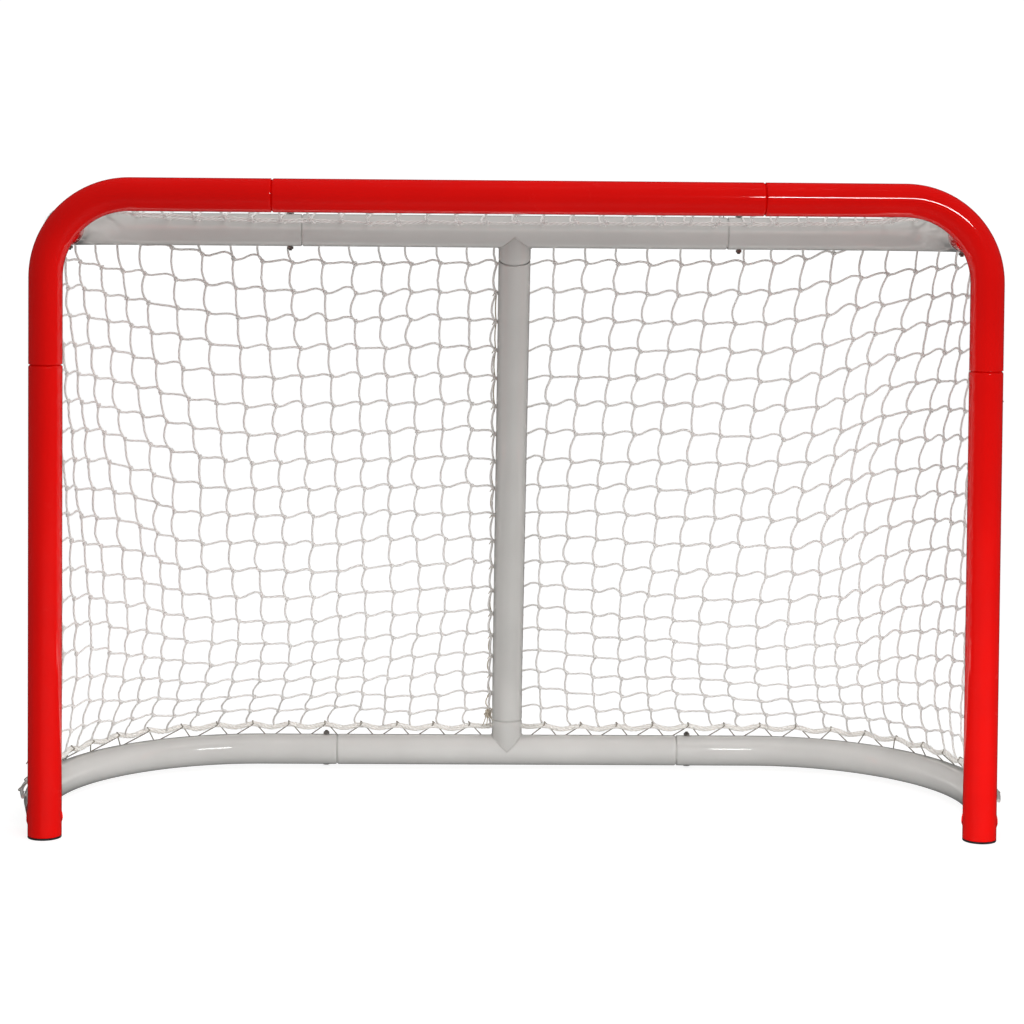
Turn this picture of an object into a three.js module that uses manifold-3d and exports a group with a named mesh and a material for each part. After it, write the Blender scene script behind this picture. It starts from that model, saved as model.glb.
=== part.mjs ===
// Knock-down hockey goal: a red front frame in five tubes, a white rear frame and floor frame in three
// tubes each, a slanted centre post, through bolts with nuts, lacing rods, a knotted net with its border
// ropes and lacing cords. Millimetres, +Z up, the mouth of the goal faces -Y.
import * as THREE from 'three';
import { mergeVertices } from 'three/addons/utils/BufferGeometryUtils.js';
import Module from 'manifold-3d';

const wasm = await Module();
wasm.setup();

// ---- Tube stock and slip joints ----------------------------------------------------------------
const TUBE_R = 28.5;          // 2 1/4 inch tube
const BORE_R = 26.7;          // 1.8 mm wall
const NECK_R = 25.8;          // swaged end that slips into the next tube
const NECK_BORE_R = 24;
const SHOULDER = 4;           // length of the taper from tube to neck
const NECK = 45;              // length of neck inside the next tube
const GAP = 0.3;              // clearance between pieces that touch
const SIDES = 16;

// ---- Front frame -------------------------------------------------------------------------------
const POST_X = 790.5;         // post axis, for a mouth 1524 mm wide
const CROSS_Z = 1083.5;       // crossbar axis
const ELBOW_R = 139.5;
const POST_SEAM_Z = 798;
const CROSS_SEAM_X = 414;
const CAP_FLANGE = 3.5;

// ---- Rear and floor frames (Y is counted from the front frame's plane) --------------------------
const RAIL_Z = 1025;          // upper rear rail axis
const RAIL_X = 763.5;         // its side arms
const RAIL_Y = 240;
const RAIL_BEND_R = 130;
const RAIL_SEAM_X = 378;
const STUB_RING = 62;         // from the front frame's axis to the open end of an upper rear arm
const BASE_Z = TUBE_R + CAP_FLANGE;
const BASE_Y = 552;
const BASE_SEAM_X = 325;
const BASE_RING = 66;
const BASE_TURN = 12.5;       // degrees outward from straight back at the post
const BASE_LEAD = 62;         // straight length that slips over the stub
const BASE_LEAD_BEND_R = 262;
const BASE_BEND_R = 360;
const CENTRE_STUB = 55;       // rail axis to the ring seam of the centre post
const CENTRE_FOOT_STUB = 60;
const CENTRE_BEND_R = 150;

// ---- Fasteners ---------------------------------------------------------------------------------
const BOLT_R = 3;
const BOLT_HOLE_R = 3.5;
const BOLT_INSET = 20;        // from a seam to the bolt through the slip joint
const BOLT_HEAD_R = 6.5;
const BOLT_HEAD = 3.2;
const BOLT_HEAD_LOW = 1.0;      // flat heads under the floor frame
const NUT_R = 5.8;
const NUT = 5;
const BOLT_TIP = 2.5;
const SCREW_R = 2.4;
const SCREW_HOLE_R = 2.9;
const SCREW_LENGTH = 11;
const SCREW_HEAD_R = 5;
const SCREW_HEAD = 2.6;

// ---- Net, ropes and lacing ---------------------------------------------------------------------
const ROD_R = 3;
const ROD_OFF = TUBE_R + 4 + ROD_R;   // rod axis from the tube's axis, leaving a 4 mm gap for the cord
const ROD_PIN_SPACING = 150;
const ROD_PIN_R = 2.2;
const ROD_PIN_MARGIN = 0.03;    // share of the rod beyond its end pins
const BASE_ROD_ANGLE = 25;            // degrees above level, on the outside of the floor frame
const POST_ROD_ANGLE = 40;            // degrees outward from straight back
const CROSS_ROD_DROP = 15;            // degrees below level, behind the crossbar
const HEM_R = 5;
const HEM_Z = BASE_Z + 42;
const FRONT_ROPE_R = 4;
const CORD_R = 1.5;
const LACE_PITCH = 68;
const NET_T = 4;                      // thickness of the net's plain panels
const NET_CLEAR = 34;                 // net panels from a tube's axis

const RED = new THREE.MeshStandardMaterial({ color: 0xd4140c, roughness: 0.25, metalness: 0.1 });
const WHITE = new THREE.MeshStandardMaterial({ color: 0xd2cfcb, roughness: 0.3, metalness: 0.1 });
const STEEL = new THREE.MeshStandardMaterial({ color: 0x6a6662, roughness: 0.4, metalness: 0.9 });
const BLACK = new THREE.MeshStandardMaterial({ color: 0x161616, roughness: 0.6, metalness: 0 });
const TWINE = new THREE.MeshStandardMaterial({ color: 0xc9c2b8, roughness: 0.95, metalness: 0 });
const ROPE = new THREE.MeshStandardMaterial({ color: 0xd8d0c2, roughness: 1, metalness: 0 });
const CORD = new THREE.MeshStandardMaterial({ color: 0x6d6a5c, roughness: 0.8, metalness: 0 });

const rad = THREE.MathUtils.degToRad;
const vec = (x, y, z) => new THREE.Vector3(x, y, z);
const UP = vec(0, 0, 1);
const BACK = vec(0, 1, 0);
const LEVEL = vec(1, 0, 0);

const goal = new THREE.Group();

function addPiece(name, geometry, material) {
  const piece = new THREE.Mesh(geometry, material);
  piece.name = name;
  goal.add(piece);
}

// ---- A route of straight runs and bends, with a section only where the shape needs one ----------
class Route extends THREE.Curve {
  constructor(start, heading) {
    super();
    this.stations = [start.clone()];
    this.headings = [heading.clone().normalize()];
  }
  straight(length) {
    const heading = this.headings.at(-1);
    this.stations.push(this.stations.at(-1).clone().addScaledVector(heading, length));
    this.headings.push(heading.clone());
    return this;
  }
  bend(radius, degrees, axis, steps) {
    const heading = this.headings.at(-1).clone();
    const inward = axis.clone().cross(heading).normalize();
    const centre = this.stations.at(-1).clone().addScaledVector(inward, radius);
    for (let i = 1; i <= steps; i += 1) {
      const turn = rad(degrees) * i / steps;
      const arm = inward.clone().multiplyScalar(-radius).applyAxisAngle(axis, turn);
      this.stations.push(centre.clone().add(arm));
      this.headings.push(heading.clone().applyAxisAngle(axis, turn));
    }
    return this;
  }
  at(u) {
    return Math.round(u * (this.stations.length - 1));
  }
  getPointAt(u) {
    return this.stations[this.at(u)].clone();
  }
  getTangentAt(u) {
    return this.headings[this.at(u)].clone();
  }
  get steps() {
    return this.stations.length - 1;
  }
}

// A route through a list of points, its headings taken from the neighbours.
function pointRoute(points) {
  const route = new Route(points[0], points[1].clone().sub(points[0]));
  for (let i = 1; i < points.length; i += 1) {
    const next = points[Math.min(i + 1, points.length - 1)];
    route.stations.push(points[i].clone());
    route.headings.push(next.clone().sub(points[i - 1]).normalize());
  }
  return route;
}

function circle(radius, sides, Kind = THREE.Shape) {
  const outline = new Kind();
  for (let i = 0; i < sides; i += 1) {
    const a = 2 * Math.PI * i / sides;
    const step = i === 0 ? 'moveTo' : 'lineTo';
    outline[step](radius * Math.cos(a), radius * Math.sin(a));
  }
  outline.closePath();
  return outline;
}

function sweep(route, radius, sides, bore = 0) {
  const section = circle(radius, sides);
  if (bore > 0) section.holes.push(circle(bore, sides, THREE.Path));
  return new THREE.ExtrudeGeometry(section, { steps: route.steps, extrudePath: route, curveSegments: 1 });
}

// A lathe turned from (radius, distance) pairs, pointing from `start` along `heading`.
function turned(profile, start, heading, sides = SIDES) {
  const points = profile.map(([r, s]) => new THREE.Vector2(r, s));
  const shape = new THREE.LatheGeometry(points, sides);
  shape.applyQuaternion(new THREE.Quaternion().setFromUnitVectors(vec(0, 1, 0), heading));
  shape.translate(start.x, start.y, start.z);
  return shape;
}

// ---- Joining and cutting -----------------------------------------------------------------------
function solid(geometry) {
  const plain = geometry.clone();
  plain.deleteAttribute('normal');
  plain.deleteAttribute('uv');
  const merged = mergeVertices(plain, 1e-4);
  const mesh = new wasm.Mesh({
    numProp: 3,
    vertProperties: new Float32Array(merged.attributes.position.array),
    triVerts: new Uint32Array(merged.index.array),
  });
  return new wasm.Manifold(mesh);
}

function geometryOf(body) {
  const mesh = body.getMesh();
  const shape = new THREE.BufferGeometry();
  shape.setAttribute('position', new THREE.BufferAttribute(new Float32Array(mesh.vertProperties), 3));
  shape.setIndex(new THREE.BufferAttribute(new Uint32Array(mesh.triVerts), 1));
  return shape;
}

function cut(geometry, ...cutters) {
  return geometryOf(cutters.reduce((body, cutter) => body.subtract(solid(cutter)), solid(geometry)));
}

function join(geometry, ...others) {
  return geometryOf(others.reduce((body, other) => body.add(solid(other)), solid(geometry)));
}

function rodBetween(start, end, radius, sides) {
  const heading = end.clone().sub(start);
  const length = heading.length();
  return turned([[0, 0], [radius, 0], [radius, length], [0, length]], start, heading.normalize(), sides);
}

// ---- Tubes -------------------------------------------------------------------------------------
// Straight tube of `length` between seams, with a swaged neck at either end when asked for.
function straightTube(start, heading, length, neckAtStart, neckAtEnd) {
  const outer = [];
  const inner = [];
  if (neckAtStart) {
    outer.push([NECK_R, -NECK], [NECK_R, 0], [TUBE_R, SHOULDER]);
    inner.push([NECK_BORE_R, -NECK], [NECK_BORE_R, 0], [BORE_R, SHOULDER]);
  } else {
    outer.push([TUBE_R, 0]);
    inner.push([BORE_R, 0]);
  }
  if (neckAtEnd) {
    outer.push([TUBE_R, length - SHOULDER], [NECK_R, length], [NECK_R, length + NECK]);
    inner.push([BORE_R, length - SHOULDER], [NECK_BORE_R, length], [NECK_BORE_R, length + NECK]);
  } else {
    outer.push([TUBE_R, length]);
    inner.push([BORE_R, length]);
  }
  return turned([...outer, ...inner.reverse(), outer[0]], start, heading);
}

function hollow(route) {
  return sweep(route, TUBE_R, SIDES, BORE_R);
}

function drill(point, axis, radius = BOLT_HOLE_R, reach = TUBE_R + 6) {
  const start = point.clone().addScaledVector(axis, -reach);
  return rodBetween(start, point.clone().addScaledVector(axis, reach), radius, 8);
}

// Holes for rear screws go through one wall only.
function rearScrewHole(point) {
  return rodBetween(point, point.clone().addScaledVector(BACK, TUBE_R + 6), SCREW_HOLE_R, 8);
}

const both = [['left', -1], ['right', 1]];

const postBolt = (side) => vec(side * POST_X, 0, POST_SEAM_Z + BOLT_INSET);
const crossBolt = (side) => vec(side * (CROSS_SEAM_X + BOLT_INSET), 0, CROSS_Z);
const armBolt = (side) => vec(side * RAIL_X, STUB_RING + BOLT_INSET, RAIL_Z);
const railBolt = (side) => vec(side * (RAIL_SEAM_X + BOLT_INSET), RAIL_Y, RAIL_Z);
const baseBolt = (side) => vec(side * (BASE_SEAM_X + BOLT_INSET), BASE_Y, BASE_Z);
const baseHeading = (side) => vec(side * Math.sin(rad(BASE_TURN)), Math.cos(rad(BASE_TURN)), 0);
const baseStart = (side) => vec(side * POST_X, 0, BASE_Z);
const footBolt = (side) => baseStart(side).addScaledVector(baseHeading(side), BASE_RING + BOLT_INSET);

// ---- Front frame -------------------------------------------------------------------------------
function elbowRoute(side, lead) {
  return new Route(vec(side * POST_X, 0, POST_SEAM_Z + lead), UP)
    .straight(CROSS_Z - ELBOW_R - POST_SEAM_Z - lead)
    .bend(ELBOW_R, 90, vec(0, -side, 0), 8)
    .straight(POST_X - ELBOW_R - CROSS_SEAM_X - lead);
}

function makeFrontFrame() {
  for (const [name, side] of both) {
    const foot = vec(side * POST_X, 0, CAP_FLANGE + GAP);
    const post = straightTube(foot, UP, POST_SEAM_Z - foot.z, false, true);
    addPiece(`${name}_post`, cut(post, rearScrewHole(postBolt(side))), RED);
    const elbow = hollow(elbowRoute(side, GAP));
    addPiece(`${name}_elbow`, cut(elbow, rearScrewHole(postBolt(side)), rearScrewHole(crossBolt(side))), RED);
    const cap = [
      [0, 0], [TUBE_R, 0], [TUBE_R, CAP_FLANGE], [NECK_R, CAP_FLANGE], [NECK_R, 24],
      [NECK_BORE_R - 1, 24], [NECK_BORE_R - 1, 6], [0, 6],
    ];
    addPiece(`${name}_foot_cap`, turned(cap, vec(side * POST_X, 0, 0), UP), BLACK);
  }
  const bar = straightTube(vec(-CROSS_SEAM_X, 0, CROSS_Z), LEVEL, 2 * CROSS_SEAM_X, true, true);
  addPiece('crossbar', cut(bar, rearScrewHole(crossBolt(-1)), rearScrewHole(crossBolt(1))), RED);
}

// A short tube, coped where it meets the tube it is welded to, with its neck pointing away.
function stub(start, heading, ring, parent, ...holes) {
  const inset = 6;
  const profile = [
    [TUBE_R, inset], [TUBE_R, ring - SHOULDER], [NECK_R, ring], [NECK_R, ring + NECK],
    [NECK_BORE_R, ring + NECK], [NECK_BORE_R, inset], [TUBE_R, inset],
  ];
  return cut(turned(profile, start, heading), parent, ...holes);
}

function makeFrontStubs() {
  for (const [name, side] of both) {
    const elbowSolid = sweep(elbowRoute(side, GAP), TUBE_R + GAP, SIDES);
    const hole = drill(armBolt(side), UP);
    const arm = stub(vec(side * RAIL_X, 0, RAIL_Z), BACK, STUB_RING, elbowSolid, hole);
    addPiece(`${name}_elbow_stub`, arm, RED);
    const postSolid = rodBetween(vec(side * POST_X, 0, 0), vec(side * POST_X, 0, 200), TUBE_R + GAP, SIDES);
    const foot = stub(baseStart(side), baseHeading(side), BASE_RING, postSolid, drill(footBolt(side), UP));
    addPiece(`${name}_base_stub`, foot, RED);
  }
}

// ---- Upper rear frame --------------------------------------------------------------------------
function railRoute(side) {
  const straight = RAIL_Y - RAIL_BEND_R - STUB_RING - GAP;
  return new Route(vec(side * RAIL_X, STUB_RING + GAP, RAIL_Z), BACK)
    .straight(straight)
    .bend(RAIL_BEND_R, 90, vec(0, 0, side), 8)
    .straight(RAIL_X - RAIL_BEND_R - RAIL_SEAM_X - GAP);
}

function makeRearRails() {
  for (const [name, side] of both) {
    const rail = cut(hollow(railRoute(side)), drill(armBolt(side), UP), drill(railBolt(side), UP));
    addPiece(`${name}_rear_rail`, rail, WHITE);
  }
  const middle = straightTube(vec(-RAIL_SEAM_X, RAIL_Y, RAIL_Z), LEVEL, 2 * RAIL_SEAM_X, true, true);
  addPiece('middle_rear_rail', cut(middle, drill(railBolt(-1), UP), drill(railBolt(1), UP)), WHITE);
}

// ---- Floor frame -------------------------------------------------------------------------------
function baseRoute(side, outward = 0, lift = 0, lead = GAP) {
  const heading = baseHeading(side);
  const start = baseStart(side).addScaledVector(heading, BASE_RING + lead);
  start.add(vec(side * heading.y * outward, -side * heading.x * outward, lift));
  const axis = vec(0, 0, side);
  const turnY = BASE_Y - BASE_BEND_R;
  const leadEnd = baseStart(side).addScaledVector(heading, BASE_RING + BASE_LEAD);
  const leadArc = BASE_LEAD_BEND_R;
  const run = turnY - leadEnd.y - leadArc * Math.sin(rad(BASE_TURN));
  const widest = Math.abs(leadEnd.x) + leadArc * (1 - Math.cos(rad(BASE_TURN)));
  return new Route(start, heading)
    .straight(BASE_LEAD - lead)
    .bend(leadArc + outward, BASE_TURN, axis, 2)
    .straight(run)
    .bend(BASE_BEND_R + outward, 90, axis, 9)
    .straight(widest - BASE_BEND_R - BASE_SEAM_X - GAP);
}

function makeBaseRails() {
  for (const [name, side] of both) {
    const rail = cut(hollow(baseRoute(side)), drill(footBolt(side), UP), drill(baseBolt(side), UP));
    addPiece(`${name}_base_rail`, rail, WHITE);
  }
  const middle = straightTube(vec(-BASE_SEAM_X, BASE_Y, BASE_Z), LEVEL, 2 * BASE_SEAM_X, true, true);
  addPiece('middle_base_rail', cut(middle, drill(baseBolt(-1), UP), drill(baseBolt(1), UP)), WHITE);
}

// ---- Centre post: upright at its foot, then one bend and a straight slant up to the rear rail -----
const upright = BASE_Z + CENTRE_FOOT_STUB + NECK + 3;
const reachY = BASE_Y - CENTRE_BEND_R - RAIL_Y;
const reachZ = RAIL_Z - upright;
const slant = Math.asin(CENTRE_BEND_R / Math.hypot(reachY, reachZ)) + Math.atan(reachY / reachZ);
const slantHeading = vec(0, -Math.sin(slant), Math.cos(slant));

function makeCentrePost() {
  const footRing = vec(0, BASE_Y, BASE_Z + CENTRE_FOOT_STUB + GAP);
  const route = new Route(footRing, UP)
    .straight(upright - footRing.z)
    .bend(CENTRE_BEND_R, THREE.MathUtils.radToDeg(slant), LEVEL, 3);
  const top = vec(0, RAIL_Y, RAIL_Z);
  route.straight(route.stations.at(-1).distanceTo(top) - CENTRE_STUB - GAP);
  addPiece('centre_post', hollow(route), WHITE);
  const railSolid = rodBetween(vec(-60, RAIL_Y, RAIL_Z), vec(60, RAIL_Y, RAIL_Z), TUBE_R + GAP, SIDES);
  addPiece('centre_post_top_stub', stub(top, slantHeading.clone().negate(), CENTRE_STUB, railSolid), WHITE);
  const baseSolid = rodBetween(vec(-60, BASE_Y, BASE_Z), vec(60, BASE_Y, BASE_Z), TUBE_R + GAP, SIDES);
  addPiece('centre_post_foot_stub', stub(vec(0, BASE_Y, BASE_Z), UP, CENTRE_FOOT_STUB, baseSolid), WHITE);
}

// ---- Fasteners ---------------------------------------------------------------------------------
// `out` is the way the head faces; the nut is on the other side of the tube.
function makeBolt(name, centre, out, headHeight = BOLT_HEAD) {
  const face = TUBE_R + GAP;
  const tip = -(face + NUT + GAP + BOLT_TIP);
  const bolt = [
    [0, tip], [BOLT_R, tip], [BOLT_R, face], [BOLT_HEAD_R, face], [BOLT_HEAD_R, face + headHeight * 0.4],
    [BOLT_HEAD_R * 0.6, face + headHeight], [0, face + headHeight],
  ];
  addPiece(`${name}_bolt`, turned(bolt, centre, out, 10), STEEL);
  const nut = [
    [BOLT_HOLE_R, -face - NUT], [NUT_R, -face - NUT], [NUT_R, -face], [BOLT_HOLE_R, -face],
    [BOLT_HOLE_R, -face - NUT],
  ];
  addPiece(`${name}_nut`, turned(nut, centre, out, 6), STEEL);
}

function makeScrew(name, centre) {
  const face = TUBE_R + GAP;
  const screw = [
    [0, face - SCREW_LENGTH], [SCREW_R, face - SCREW_LENGTH], [SCREW_R, face], [SCREW_HEAD_R, face],
    [SCREW_HEAD_R * 0.7, face + SCREW_HEAD], [0, face + SCREW_HEAD],
  ];
  addPiece(name, turned(screw, centre, BACK, 10), STEEL);
}

function makeFasteners() {
  const down = UP.clone().negate();
  for (const [name, side] of both) {
    makeBolt(`${name}_arm`, armBolt(side), UP);
    makeBolt(`${name}_rear_rail`, railBolt(side), UP);
    makeBolt(`${name}_base_arm`, footBolt(side), down, BOLT_HEAD_LOW);
    makeBolt(`${name}_base_rail`, baseBolt(side), down, BOLT_HEAD_LOW);
    makeScrew(`${name}_post_screw`, postBolt(side));
    makeScrew(`${name}_crossbar_screw`, crossBolt(side));
  }
}

// ---- Lacing rods, each on short pins welded to its tube --------------------------------------------
// `towards` gives the way from a point on the rod to its tube's axis.
function lacingRod(route, length, towards) {
  const count = 2 * Math.round(length / ROD_PIN_SPACING / 2) + 1;
  const pins = [];
  for (let i = 0; i <= count; i += 1) {
    const share = ROD_PIN_MARGIN + (1 - 2 * ROD_PIN_MARGIN) * i / count;
    const where = share * route.steps;
    const low = Math.floor(where);
    const point = route.stations[low].clone().lerp(route.stations[low + 1], where - low);
    const foot = point.clone().addScaledVector(towards(point), ROD_OFF - TUBE_R - GAP);
    pins.push(rodBetween(point, foot, ROD_PIN_R, 6));
  }
  return join(sweep(route, ROD_R, 6), ...pins);
}

function alongTube(heading, steps, start, length) {
  const route = new Route(start, heading);
  for (let i = 0; i < steps; i += 1) route.straight(length / steps);
  return route;
}

const crossRodAt = vec(0, ROD_OFF * Math.cos(rad(CROSS_ROD_DROP)), -ROD_OFF * Math.sin(rad(CROSS_ROD_DROP)));
const postRodAt = (side) => vec(
  side * ROD_OFF * Math.sin(rad(POST_ROD_ANGLE)),
  ROD_OFF * Math.cos(rad(POST_ROD_ANGLE)),
  0,
);
const POST_ROD_LOW = 110;
const POST_ROD_HIGH = 770;
const CROSS_ROD_END = 392;
const baseOut = ROD_OFF * Math.cos(rad(BASE_ROD_ANGLE));
const baseLift = ROD_OFF * Math.sin(rad(BASE_ROD_ANGLE));

function makeLacingRods() {
  const crossStart = vec(-CROSS_ROD_END, 0, CROSS_Z).add(crossRodAt);
  const crossRoute = alongTube(LEVEL, 1, crossStart, 2 * CROSS_ROD_END);
  const crossIn = crossRodAt.clone().normalize().negate();
  addPiece('crossbar_lacing_rod', lacingRod(crossRoute, 2 * CROSS_ROD_END, () => crossIn), RED);
  for (const [name, side] of both) {
    const start = vec(side * POST_X, 0, POST_ROD_LOW).add(postRodAt(side));
    const route = alongTube(UP, 1, start, POST_ROD_HIGH - POST_ROD_LOW);
    const inward = postRodAt(side).normalize().negate();
    addPiece(`${name}_post_lacing_rod`, lacingRod(route, POST_ROD_HIGH - POST_ROD_LOW, () => inward), RED);
  }
  const middleStart = vec(-BASE_SEAM_X + 15, BASE_Y + baseOut, BASE_Z + baseLift);
  const middleLength = 2 * BASE_SEAM_X - 30;
  const baseIn = vec(0, -baseOut, -baseLift).normalize();
  const middleRoute = alongTube(LEVEL, 1, middleStart, middleLength);
  addPiece('middle_base_lacing_rod', lacingRod(middleRoute, middleLength, () => baseIn), WHITE);
  for (const [name, side] of both) {
    const route = baseRoute(side, baseOut, baseLift, 30);
    route.stations.at(-1).x += side * 15;
    const axisPoints = baseRoute(side, 0, 0, 30).stations;
    const towards = (point) => {
      const nearest = nearestOnPath(axisPoints, point);
      return nearest.sub(point).normalize();
    };
    addPiece(`${name}_base_lacing_rod`, lacingRod(route, 900, towards), WHITE);
  }
}

function nearestOnPath(points, target) {
  let best = points[0].clone();
  for (let i = 0; i + 1 < points.length; i += 1) {
    const line = new THREE.Line3(points[i], points[i + 1]);
    const spot = line.closestPointToPoint(target, true, vec(0, 0, 0));
    if (spot.distanceTo(target) < best.distanceTo(target)) best = spot;
  }
  return best;
}

// ---- Floor path of the net's lower edge: left post to right post, above the floor frame -------------
const stubBulge = (x) => (NET_CLEAR + 5) * Math.exp(-((x / 70) ** 4));

function hemPath() {
  const left = baseRoute(-1, 0, 0, 0).stations.map((p) => vec(p.x, p.y, HEM_Z));
  const right = baseRoute(1, 0, 0, 0).stations.map((p) => vec(p.x, p.y, HEM_Z)).reverse();
  const middle = [];
  for (let x = -280; x <= 280; x += 20) {
    if (Math.abs(x) < 130 || x % 140 === 0) middle.push(vec(x, BASE_Y + stubBulge(x), HEM_Z));
  }
  return [...left, ...middle, ...right];
}

// A zigzag cord between two lines, `count` times up and down.
function zigzag(lowAt, highAt, count) {
  const points = [];
  for (let i = 0; i <= 2 * count; i += 1) {
    const share = i / (2 * count);
    points.push(i % 2 === 0 ? lowAt(share) : highAt(share));
  }
  return sweep(pointRoute(points), CORD_R, 6);
}

// Point at a share of the length of a path of points.
function alongPath(points, share) {
  const lengths = points.slice(1).map((p, i) => p.distanceTo(points[i]));
  let left = share * lengths.reduce((a, b) => a + b, 0);
  for (let i = 0; i < lengths.length; i += 1) {
    if (left <= lengths[i] || i === lengths.length - 1) {
      return points[i].clone().lerp(points[i + 1], Math.min(1, left / lengths[i]));
    }
    left -= lengths[i];
  }
  return points.at(-1).clone();
}

const FRONT_ROPE_BACK = 14;   // front border rope, behind the lacing rods
const ropeBack = ROD_R + FRONT_ROPE_BACK;

function frontRopePath() {
  const post = (side, z) => vec(side * POST_X, 0, z).add(postRodAt(side)).add(vec(0, ropeBack, 0));
  const cross = (x) => vec(x, 0, CROSS_Z).add(crossRodAt).add(vec(0, ropeBack, 0));
  const overStub = (side, angle) => {
    const reach = TUBE_R + FRONT_ROPE_R + 2;
    const a = rad(angle);
    return vec(side * (RAIL_X + reach * Math.cos(a)), cross(0).y, RAIL_Z + reach * Math.sin(a));
  };
  const half = (side) => [
    post(side, HEM_Z + 26),
    post(side, POST_ROD_HIGH),
    overStub(side, 0),
    overStub(side, 30),
    overStub(side, 60),
    overStub(side, 90),
    cross(side * CROSS_ROD_END),
  ];
  return [...half(-1), ...half(1).reverse()];
}

function makeRopes() {
  addPiece('base_border_rope', sweep(pointRoute(hemPath()), HEM_R, 6), ROPE);
  addPiece('front_border_rope', sweep(pointRoute(frontRopePath()), FRONT_ROPE_R, 6), ROPE);
}

function makeLacing() {
  const hem = hemPath();
  const rodLine = hem.map((p) => vec(p.x, p.y, 0));
  const outside = [];
  rodLine.forEach((p, i) => {
    const ahead = rodLine[Math.min(i + 1, rodLine.length - 1)];
    const behind = rodLine[Math.max(i - 1, 0)];
    const along = ahead.clone().sub(behind).normalize();
    const bulge = p.x > -280 && p.x < 280 ? stubBulge(p.x) : 0;
    const out = vec(-along.y, along.x, 0).multiplyScalar(baseOut);
    outside.push(vec(p.x, p.y - bulge, 0).add(bulge > 0 ? vec(0, baseOut, 0) : out));
  });
  const lowZ = BASE_Z + baseLift + ROD_R + CORD_R + GAP;
  const highZ = HEM_Z - HEM_R;
  const low = (share) => alongPath(outside, share).setZ(lowZ);
  const high = (share) => {
    const spot = alongPath(hem, share).setZ(highZ);
    return spot.add(alongPath(outside, share).sub(spot).setZ(0).setLength(HEM_R + CORD_R));
  };
  const count = Math.round(2450 / LACE_PITCH);
  addPiece('base_lacing', zigzag(low, high, count), CORD);

  const crossLow = vec(0, 0, CROSS_Z).add(crossRodAt).add(vec(0, ROD_R + CORD_R + GAP, 0));
  const crossHigh = crossLow.clone().setY(crossRodAt.y + ropeBack - FRONT_ROPE_R - CORD_R - GAP);
  const across = (share) => (2 * share - 1) * (CROSS_ROD_END - 12);
  addPiece('crossbar_lacing', zigzag(
    (share) => crossLow.clone().setX(across(share)),
    (share) => crossHigh.clone().setX(across(share)),
    Math.round(2 * CROSS_ROD_END / LACE_PITCH),
  ), CORD);
  const beside = [];
  const loops = 17;
  for (let i = 0; i <= 2 * loops; i += 1) {
    const z = NET_TOP_Z - 70 + (HEM_Z + 30 - NET_TOP_Z + 70) * i / (2 * loops);
    const bulge = i % 2 === 0 ? 0 : 5;
    beside.push(vec(-TUBE_R - CORD_R - 0.5 - bulge, postY(z) + 12, z));
  }
  addPiece('centre_post_lacing', sweep(pointRoute(beside), CORD_R, 6), CORD);
  for (const [name, side] of both) {
    const rod = vec(side * POST_X, 0, 0).add(postRodAt(side));
    const height = (share) => POST_ROD_LOW + 12 + share * (POST_ROD_HIGH - POST_ROD_LOW - 24);
    addPiece(`${name}_post_lacing`, zigzag(
      (share) => vec(rod.x, rod.y + ROD_R + CORD_R + GAP, height(share)),
      (share) => vec(rod.x, rod.y + ropeBack - FRONT_ROPE_R - CORD_R - GAP, height(share)),
      Math.round((POST_ROD_HIGH - POST_ROD_LOW) / LACE_PITCH),
    ), CORD);
  }
}

// ---- The net as five plain panels with the true outer shape ------------------------------------------
const NET_TOP_Z = RAIL_Z + 12;
const NET_LOW_Z = HEM_Z + HEM_R + 4;
const SAG = 2.3;              // how late the hanging net swings back to the floor frame

// A box whose grid is laid on a surface: (across, down) from 0 to 1 gives the middle of the thickness.
// `rows` are the shares of the way down at which the grid has a row.
function panel(surface, acrossSteps, rows) {
  const shape = new THREE.BoxGeometry(1, 1, 1, acrossSteps, rows.length - 1, 1);
  const spots = shape.attributes.position;
  for (let i = 0; i < spots.count; i += 1) {
    const across = spots.getX(i) + 0.5;
    const down = rows[Math.round((0.5 - spots.getY(i)) * (rows.length - 1))];
    const centre = surface(across, down);
    const dAcross = surface(Math.min(1, across + 0.01), down).sub(surface(Math.max(0, across - 0.01), down));
    const dDown = surface(across, Math.min(1, down + 0.01)).sub(surface(across, Math.max(0, down - 0.01)));
    const normal = dDown.cross(dAcross).normalize();
    centre.addScaledVector(normal, spots.getZ(i) * NET_T);
    spots.setXYZ(i, centre.x, centre.y, centre.z);
  }
  return shape;
}

function between(top, low, down, sag) {
  const share = down ** sag;
  return vec(
    top.x + (low.x - top.x) * share,
    top.y + (low.y - top.y) * share,
    NET_TOP_Z + (NET_LOW_Z - NET_TOP_Z) * down,
  );
}

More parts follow.
